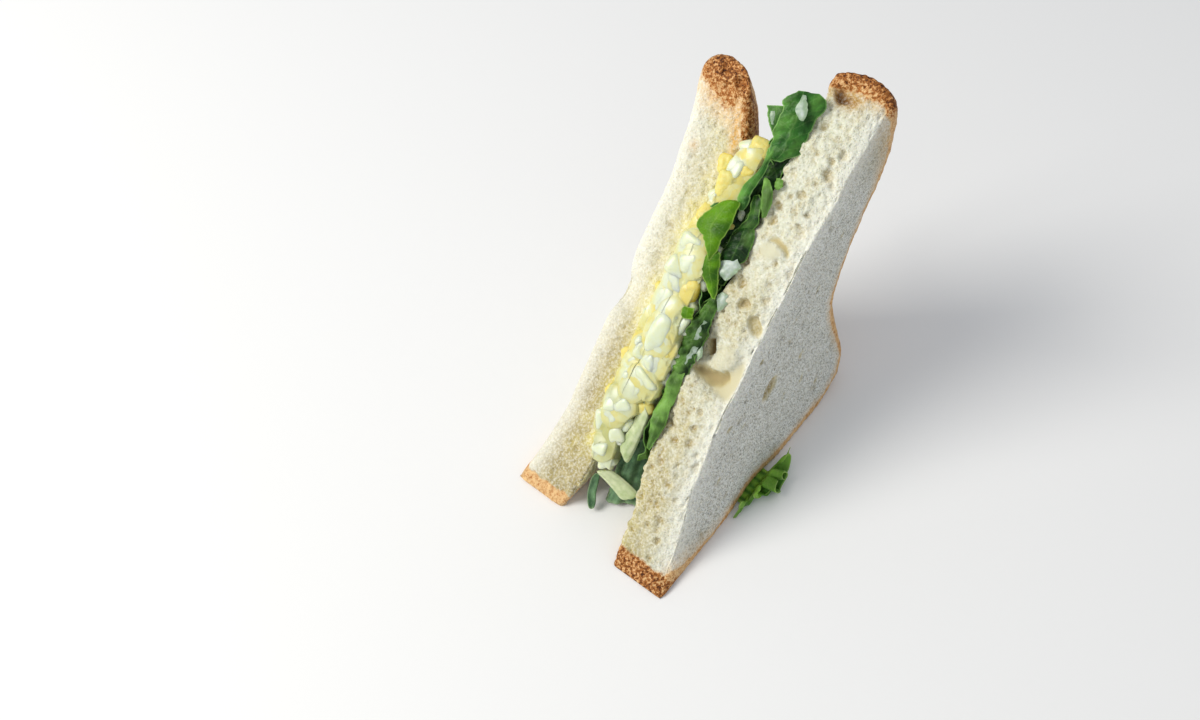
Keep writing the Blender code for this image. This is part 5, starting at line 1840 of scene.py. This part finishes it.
@dataclass(frozen=True)
class BreadFinish:
    """White crumb with a browned crust, for one slice."""

    name: str
    crumb: str = "d8d9c4"
    # Colour of the painted highlight along the cut's edge, also used for light flecks of grain.
    glint: str = "f7f7ee"
    # Colour of the painted shade in the crumb's holes, warm-tinted.
    hole: str = "a8935a"
    # Tan of the crumb's patches and of the hollows, where it is partly painted shade.
    hollow: str = "cdc194"
    # The darkest painted shade inside the hollows, dark tan.
    deep: str = "76592e"
    shade_side: str = "e6e8e2"
    speck: str = "7d7c6c"
    egg: str = "ebe08c"
    gold: str = "dfae58"
    # Khaki tint, which also paints shade towards the low end.
    khaki: str = "b8ac72"
    # The colour of painted shade.
    dim: str = "a39463"
    tan: str = "e6c08a"
    brown: str = "b06c2c"
    dark: str = "4c260f"
    gilding: str = "MIX"
    fine: float = 0.3
    raised: float = 0.5

    def material(self) -> Material:
        """Crumb, egg stain and crust, mixed by the numbers that the slice keeps, with painted shade in
        holes, hollows and towards the low end, and a painted highlight along the cut's edge.

        Returns:
            The material.
        """
        made, bench, shader = new_material(self.name)
        crumb = bench.add("Group", node_tree=CrumbPattern().group(), Holes_per_mm=0.66, Openness=0.9)
        place = bench.add("TexCoord").outputs["Object"]
        pore, crust = bench.value_of("pore"), bench.value_of("crust")
        open_crumb = bench.value_of("open_crumb")
        patch = bench.noise(place, 110.0, 3.0)
        rough = bench.sum("SUBTRACT", 1.0, bench.value_of("smooth"))
        fine = bench.times(rough, bench.spread(open_crumb, 0.0, 1.0, (1.0, self.fine)))
        fine = bench.times(crumb.outputs["Holes"], fine)
        # Painted shade in the holes, darker in deeper holes, and warm-tinted.
        sunk = bench.sum("MAXIMUM", bench.spread(pore, 0.15, 0.95), fine)
        painted_hole_shade = bench.times(sunk, bench.spread(open_crumb, 0.0, 1.0, (0.75, 0.9)))
        # Khaki tint with painted shade towards the low end, which also darkens the holes there.
        khaki = bench.value_of("khaki")
        painted_hole_shade = bench.times(painted_hole_shade, bench.spread(khaki, 0.0, 1.0, (0.75, 1.2)), True)
        base = bench.mixed(open_crumb, colour(self.shade_side), colour(self.crumb))
        warm = bench.times(khaki, bench.spread(patch, 0.35, 0.65, (0.35, 0.95)), True)
        base = bench.laid(base, warm, self.khaki)
        # Painted shade, mixed in towards the low end and near the ends of the broad face.
        dim = bench.times(bench.value_of("dim"), 0.9)
        base = bench.laid(base, dim, self.dim)
        fluff = bench.noise(place, 330.0, 2.0)
        fluff = bench.times(bench.spread(fluff, 0.46, 0.70, (0.0, 0.6)), open_crumb)
        base = bench.laid(base, bench.times(fluff, rough), self.hollow)
        base = bench.laid(base, painted_hole_shade, self.hole)
        closed = bench.sum("SUBTRACT", 1.0, open_crumb, True)
        specks = bench.noise(place, 1900.0, 2.0)
        specks = bench.times(bench.spread(specks, 0.54, 0.40, (0.0, 0.75)), closed)
        base = bench.laid(base, specks, self.speck)
        # Painted highlight along the edge between the cut and the broad face.
        bright = bench.times(bench.value_of("bright"), 0.55)
        base = bench.laid(base, bright, self.glint)
        stained = bench.times(bench.value_of("stain"), bench.spread(patch, 0.3, 0.65), True)
        base = bench.laid(base, stained, self.egg)
        # Tan inside the hollows and pits, partly painted shade, darkest where tan is highest.
        tan = bench.value_of("tan")
        base = bench.laid(base, bench.spread(tan, 0.0, 0.5), self.hollow)
        base = bench.laid(base, bench.spread(tan, 0.5, 1.0), self.deep)
        base = bench.mixed(bench.value_of("gold"), base, colour(self.gold), self.gilding)
        worn = bench.times(bench.value_of("worn"), bench.spread(patch, 0.3, 0.6, (0.35, 1.0)))
        base = bench.laid(base, worn, self.tan)
        light = bench.times(bench.spread(crumb.outputs["Grain"], 0.42, 0.66, (0.0, 0.45)), rough)
        base = bench.laid(base, light, self.glint)
        toast = bench.value_of("toast")
        fleck = bench.add("TexNoise", Vector=place, Scale=900.0, Detail=4.0, Roughness=0.8).outputs["Fac"]
        speckle = bench.times(bench.spread(fleck, 0.41, 0.62), bench.spread(toast, 0.0, 0.6, (0.45, 0.95)))
        pocked = bench.times(crumb.outputs["Holes"], bench.spread(toast, 0, 0.5, (0.1, 0.5)))
        dark = bench.sum("ADD", bench.times(toast, 0.3), bench.sum("ADD", speckle, pocked))
        dark = bench.sum("SUBTRACT", dark, 0.12, True)
        ramp = bench.add("ValToRGB", N0=dark)
        stops = ramp.color_ramp.elements
        stops.new(0.42)
        for stop, tint in zip(stops, (self.tan, self.brown, self.dark)):
            stop.color = (*colour(tint), 1.0)
        edge = bench.sum("ADD", crust, bench.times(bench.sum("SUBTRACT", fleck, 0.5), 1.1), True)
        base = bench.mixed(bench.spread(edge, 0.25, 0.75), base, ramp.outputs["Color"])
        height = bench.times(crumb.outputs["Height"], rough)
        skin = bench.add("Bump", Strength=self.raised, Distance=0.0006, Height=height)
        bench.fill(shader, Base_Color=base, Roughness=bench.spread(crust, 0.0, 1.0, (0.92, 0.62)),
                   Normal=skin.outputs["Normal"], Specular_IOR_Level=0.25, Subsurface_Weight=0.12,
                   Subsurface_Radius=(1.0, 0.8, 0.5), Subsurface_Scale=0.0015)
        return made


@dataclass(frozen=True)
class MoistPattern:
    """Soft mottling and a wet, slightly uneven skin, which all the moist foods use."""

    name: str = "moist_pattern"

    def group(self) -> NodeTree:
        """The group: two noises at a chosen scale.

        Returns:
            The group, whose outputs are Mottle and Height.
        """
        if self.name in bpy.data.node_groups:
            return bpy.data.node_groups[self.name]
        bench, source, target = new_group(self.name, {"Spots per mm": 0.4}, ("Mottle", "Height"))
        place = bench.add("TexCoord").outputs["Object"]
        scale = bench.times(source.outputs["Spots per mm"], 1000.0)
        mottle = bench.noise(place, scale, 2.0)
        finer = bench.times(scale, 4.0)
        fleck = bench.noise(place, finer, 3.0)
        height = bench.sum("ADD", mottle, bench.times(fleck, 0.35))
        bench.fill(target, Mottle=mottle, Height=height)
        return bench.tree


@dataclass(frozen=True)
class EggFinish:
    """White, yolk or dressing: two colours mixed by a number on the mesh and by mottling."""

    name: str
    pale: str
    deep: str
    number: str
    roughness: float
    subsurface: float
    spots: float = 0.4
    raised: float = 0.2
    coat: float = 0.2
    over: tuple[tuple[str, str], ...] = ()

    def material(self) -> Material:
        """The moist material, with a little light passing through it.

        Returns:
            The material.
        """
        made, bench, shader = new_material(self.name)
        moist = bench.add("Group", node_tree=MoistPattern().group(), Spots_per_mm=self.spots)
        share = bench.sum("ADD", bench.times(bench.value_of(self.number), 0.6),
                          bench.spread(moist.outputs["Mottle"], 0.3, 0.7, (-0.1, 0.5)), True)
        base = bench.mixed(share, colour(self.pale), colour(self.deep))
        for number, tint in self.over:
            base = bench.laid(base, bench.value_of(number), tint)
        skin = bench.add("Bump", Strength=self.raised, Distance=0.0004, Height=moist.outputs["Height"])
        bench.fill(shader, Base_Color=base, Normal=skin.outputs["Normal"], Roughness=self.roughness,
                   Subsurface_Weight=self.subsurface, Subsurface_Radius=(1.0, 0.9, 0.6),
                   Subsurface_Scale=0.002, Coat_Weight=self.coat, Coat_Roughness=0.25)
        return made


@dataclass(frozen=True)
class LeafFinish:
    """A lettuce leaf: its blade, its veins, its painted light and shade, and the painted highlight along
    its rim.
    """

    name: str
    blade: str
    deep: str
    vein: str
    # Colour of painted light.
    light: str
    roughness: float = 0.42

    def material(self) -> Material:
        """The leaf material, darker in its mottling and its painted shade, paler along its veins, with
        painted light and a painted highlight along its rim.

        Returns:
            The material.
        """
        made, bench, shader = new_material(self.name)
        moist = bench.add("Group", node_tree=MoistPattern().group(), Spots_per_mm=0.42)
        vein = bench.value_of("vein")
        base = bench.mixed(bench.spread(moist.outputs["Mottle"], 0.35, 0.68),
                           colour(self.blade), colour(self.deep))
        # Painted light, then painted shade, over the mottled blade.
        base = bench.laid(base, bench.value_of("light"), self.light)
        shade = bench.times(bench.value_of("shade"), 0.7)
        base = bench.laid(base, shade, self.deep)
        base = bench.laid(base, bench.times(vein, 0.3), self.vein)
        # Painted highlight along the rim, in the veins' pale colour.
        rim = bench.spread(bench.value_of("rim"), 0.5, 1.0, (0.0, 0.5))
        base = bench.laid(base, rim, self.vein)
        height = bench.sum("ADD", moist.outputs["Height"], bench.times(vein, 0.3))
        skin = bench.add("Bump", Strength=0.6, Distance=0.0006, Height=height)
        bench.fill(shader, Base_Color=base, Normal=skin.outputs["Normal"], Roughness=self.roughness,
                   Subsurface_Weight=0.15, Subsurface_Radius=(0.5, 1.0, 0.3),
                   Subsurface_Scale=0.001, Specular_IOR_Level=0.22)
        return made


@dataclass(frozen=True)
class Looks:
    """The finish of every piece."""

    bread_front: BreadFinish = BreadFinish("front_crumb", gilding="MULTIPLY")
    bread_back: BreadFinish = BreadFinish("back_crumb", crumb="d5d0b4", hole="ac9a64", fine=0.35,
                                          raised=0.45)
    # The dressing's low tint is olive with painted shade.
    dressing: EggFinish = EggFinish(
        "dressing", "d9dfb4", "d8cc74", "yellow", 0.34, 0.5,
        over=(("like_white", "d8e1cb"), ("like_yolk", "e2cd5e"), ("low", "a9ad6c")))
    egg_white: EggFinish = EggFinish("egg_white", "d9e2cb", "d8dca4", "tone", 0.34, 0.6, raised=0.12)
    egg_yolk: EggFinish = EggFinish("egg_yolk", "e2da86", "e2c440", "tone", 0.5, 0.4, 0.9, 0.4, 0.1)
    smear: EggFinish = EggFinish("smear", "cdd8ce", "93ad8a", "tone", 0.4, 0.4, 0.6, 0.2, 0.1)
    # Very dark: the leaf's own dark green, and painted shade of the gap that it lines.
    leaf_dark: LeafFinish = LeafFinish("leaf_dark", "1a490d", "082106", "7fb052", "7fae52")
    leaf_mid: LeafFinish = LeafFinish("leaf_mid", "357328", "17420f", "9fcb78", "72aa48")
    # The lobes look bright mostly by painted light.
    leaf_bright: LeafFinish = LeafFinish("leaf_bright", "2e5e08", "244f06", "a8c85e", "5f9203")
    leaf_blue: LeafFinish = LeafFinish("leaf_blue", "64875f", "3c5d3e", "a5bf92", "8fb38c")
    leaf_frill: LeafFinish = LeafFinish("leaf_frill", "4a8a26", "265816", "b4d870", "9ccf48")
    stalk: EggFinish = EggFinish("stalk", "d5dcb4", "9db274", "tone", 0.3, 0.3, 0.5)


# Stage


@dataclass
class Studio:
    """Pale floor, soft light, and the camera at the photograph's place."""

    eye: Triple = (-138.0, -82.8, 333.6)
    aim: Triple = (64.1, 73.4, 0.0)
    lens: float = 34.5

    def place(self, spot: Triple) -> Vector:
        """A spot of the sandwich's own frame, as a point of the scene."""
        return Vector((np.array(spot) - MIDDLE) * MM)

    def camera(self) -> None:
        """The camera, level, with everything sharp."""
        data = bpy.data.cameras.new("camera")
        data.lens, data.sensor_width, data.clip_start = self.lens, 36.0, 0.01
        data.dof.use_dof = False
        camera = bpy.data.objects.new("camera", data)
        bpy.context.scene.collection.objects.link(camera)
        camera.location = self.place(self.eye)
        toward = self.place(self.aim) - camera.location
        camera.rotation_euler = toward.to_track_quat("-Z", "Y").to_euler()
        bpy.context.scene.camera = camera

    def floor(self) -> None:
        """A wide plain floor just under the sandwich."""
        mesh = bpy.data.meshes.new("floor")
        reach = 2.5
        mesh.from_pydata([(-reach, -reach, 0), (reach, -reach, 0), (reach, reach, 0),
                          (-reach, reach, 0)], [], [(0, 1, 2, 3)])
        material, bench, shader = new_material("floor")
        bench.fill(shader, Base_Color=(0.92, 0.92, 0.925), Roughness=0.6)
        mesh.materials.append(material)
        floor = bpy.data.objects.new("floor", mesh)
        bpy.context.scene.collection.objects.link(floor)

    def lamp(self, name: str, spot: Triple, size: float, watts: float, tint: str) -> None:
        """A square soft lamp that points at the sandwich.

        Args:
            name: The lamp's name.
            spot: Where it is, in metres.
            size: Its side in metres.
            watts: Its power.
            tint: Its colour, such as e9dcc2.
        """
        data = bpy.data.lights.new(name, "AREA")
        data.size, data.energy, data.color = size, watts, colour(tint)
        lamp = bpy.data.objects.new(name, data)
        bpy.context.scene.collection.objects.link(lamp)
        lamp.location = spot
        toward = Vector((0.0, 0.0, 0.06)) - lamp.location
        lamp.rotation_euler = toward.to_track_quat("-Z", "Y").to_euler()

    def build(self) -> None:
        """The camera, the floor, a large window lamp and a pale sky."""
        self.camera()
        self.floor()
        self.lamp("window", (-0.75, 0.65, 0.95), 0.6, 14.0, "fffcf4")
        world = bpy.data.worlds.new("sky")
        bpy.context.scene.world = world
        world.use_nodes = True
        sky = world.node_tree.nodes["Background"]
        sky.inputs["Color"].default_value = (0.93, 0.96, 1.0, 1.0)
        sky.inputs["Strength"].default_value = 0.52
        bpy.context.scene.view_settings.view_transform = "Standard"


def main() -> None:
    """Loads the frame and dresses every node."""
    logging.basicConfig(level=logging.INFO, format="%(name)s: %(message)s")
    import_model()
    Studio().build()
    looks = Looks()
    front, back = FrontSlice(), BackSlice()
    front.build(looks.bread_front.material())
    back.build(looks.bread_back.material())
    mouth = Mouth(front, back)
    EggSalad(mouth).build(looks)
    Lettuce(mouth).build(looks)


if __name__ == "__main__":
    main()
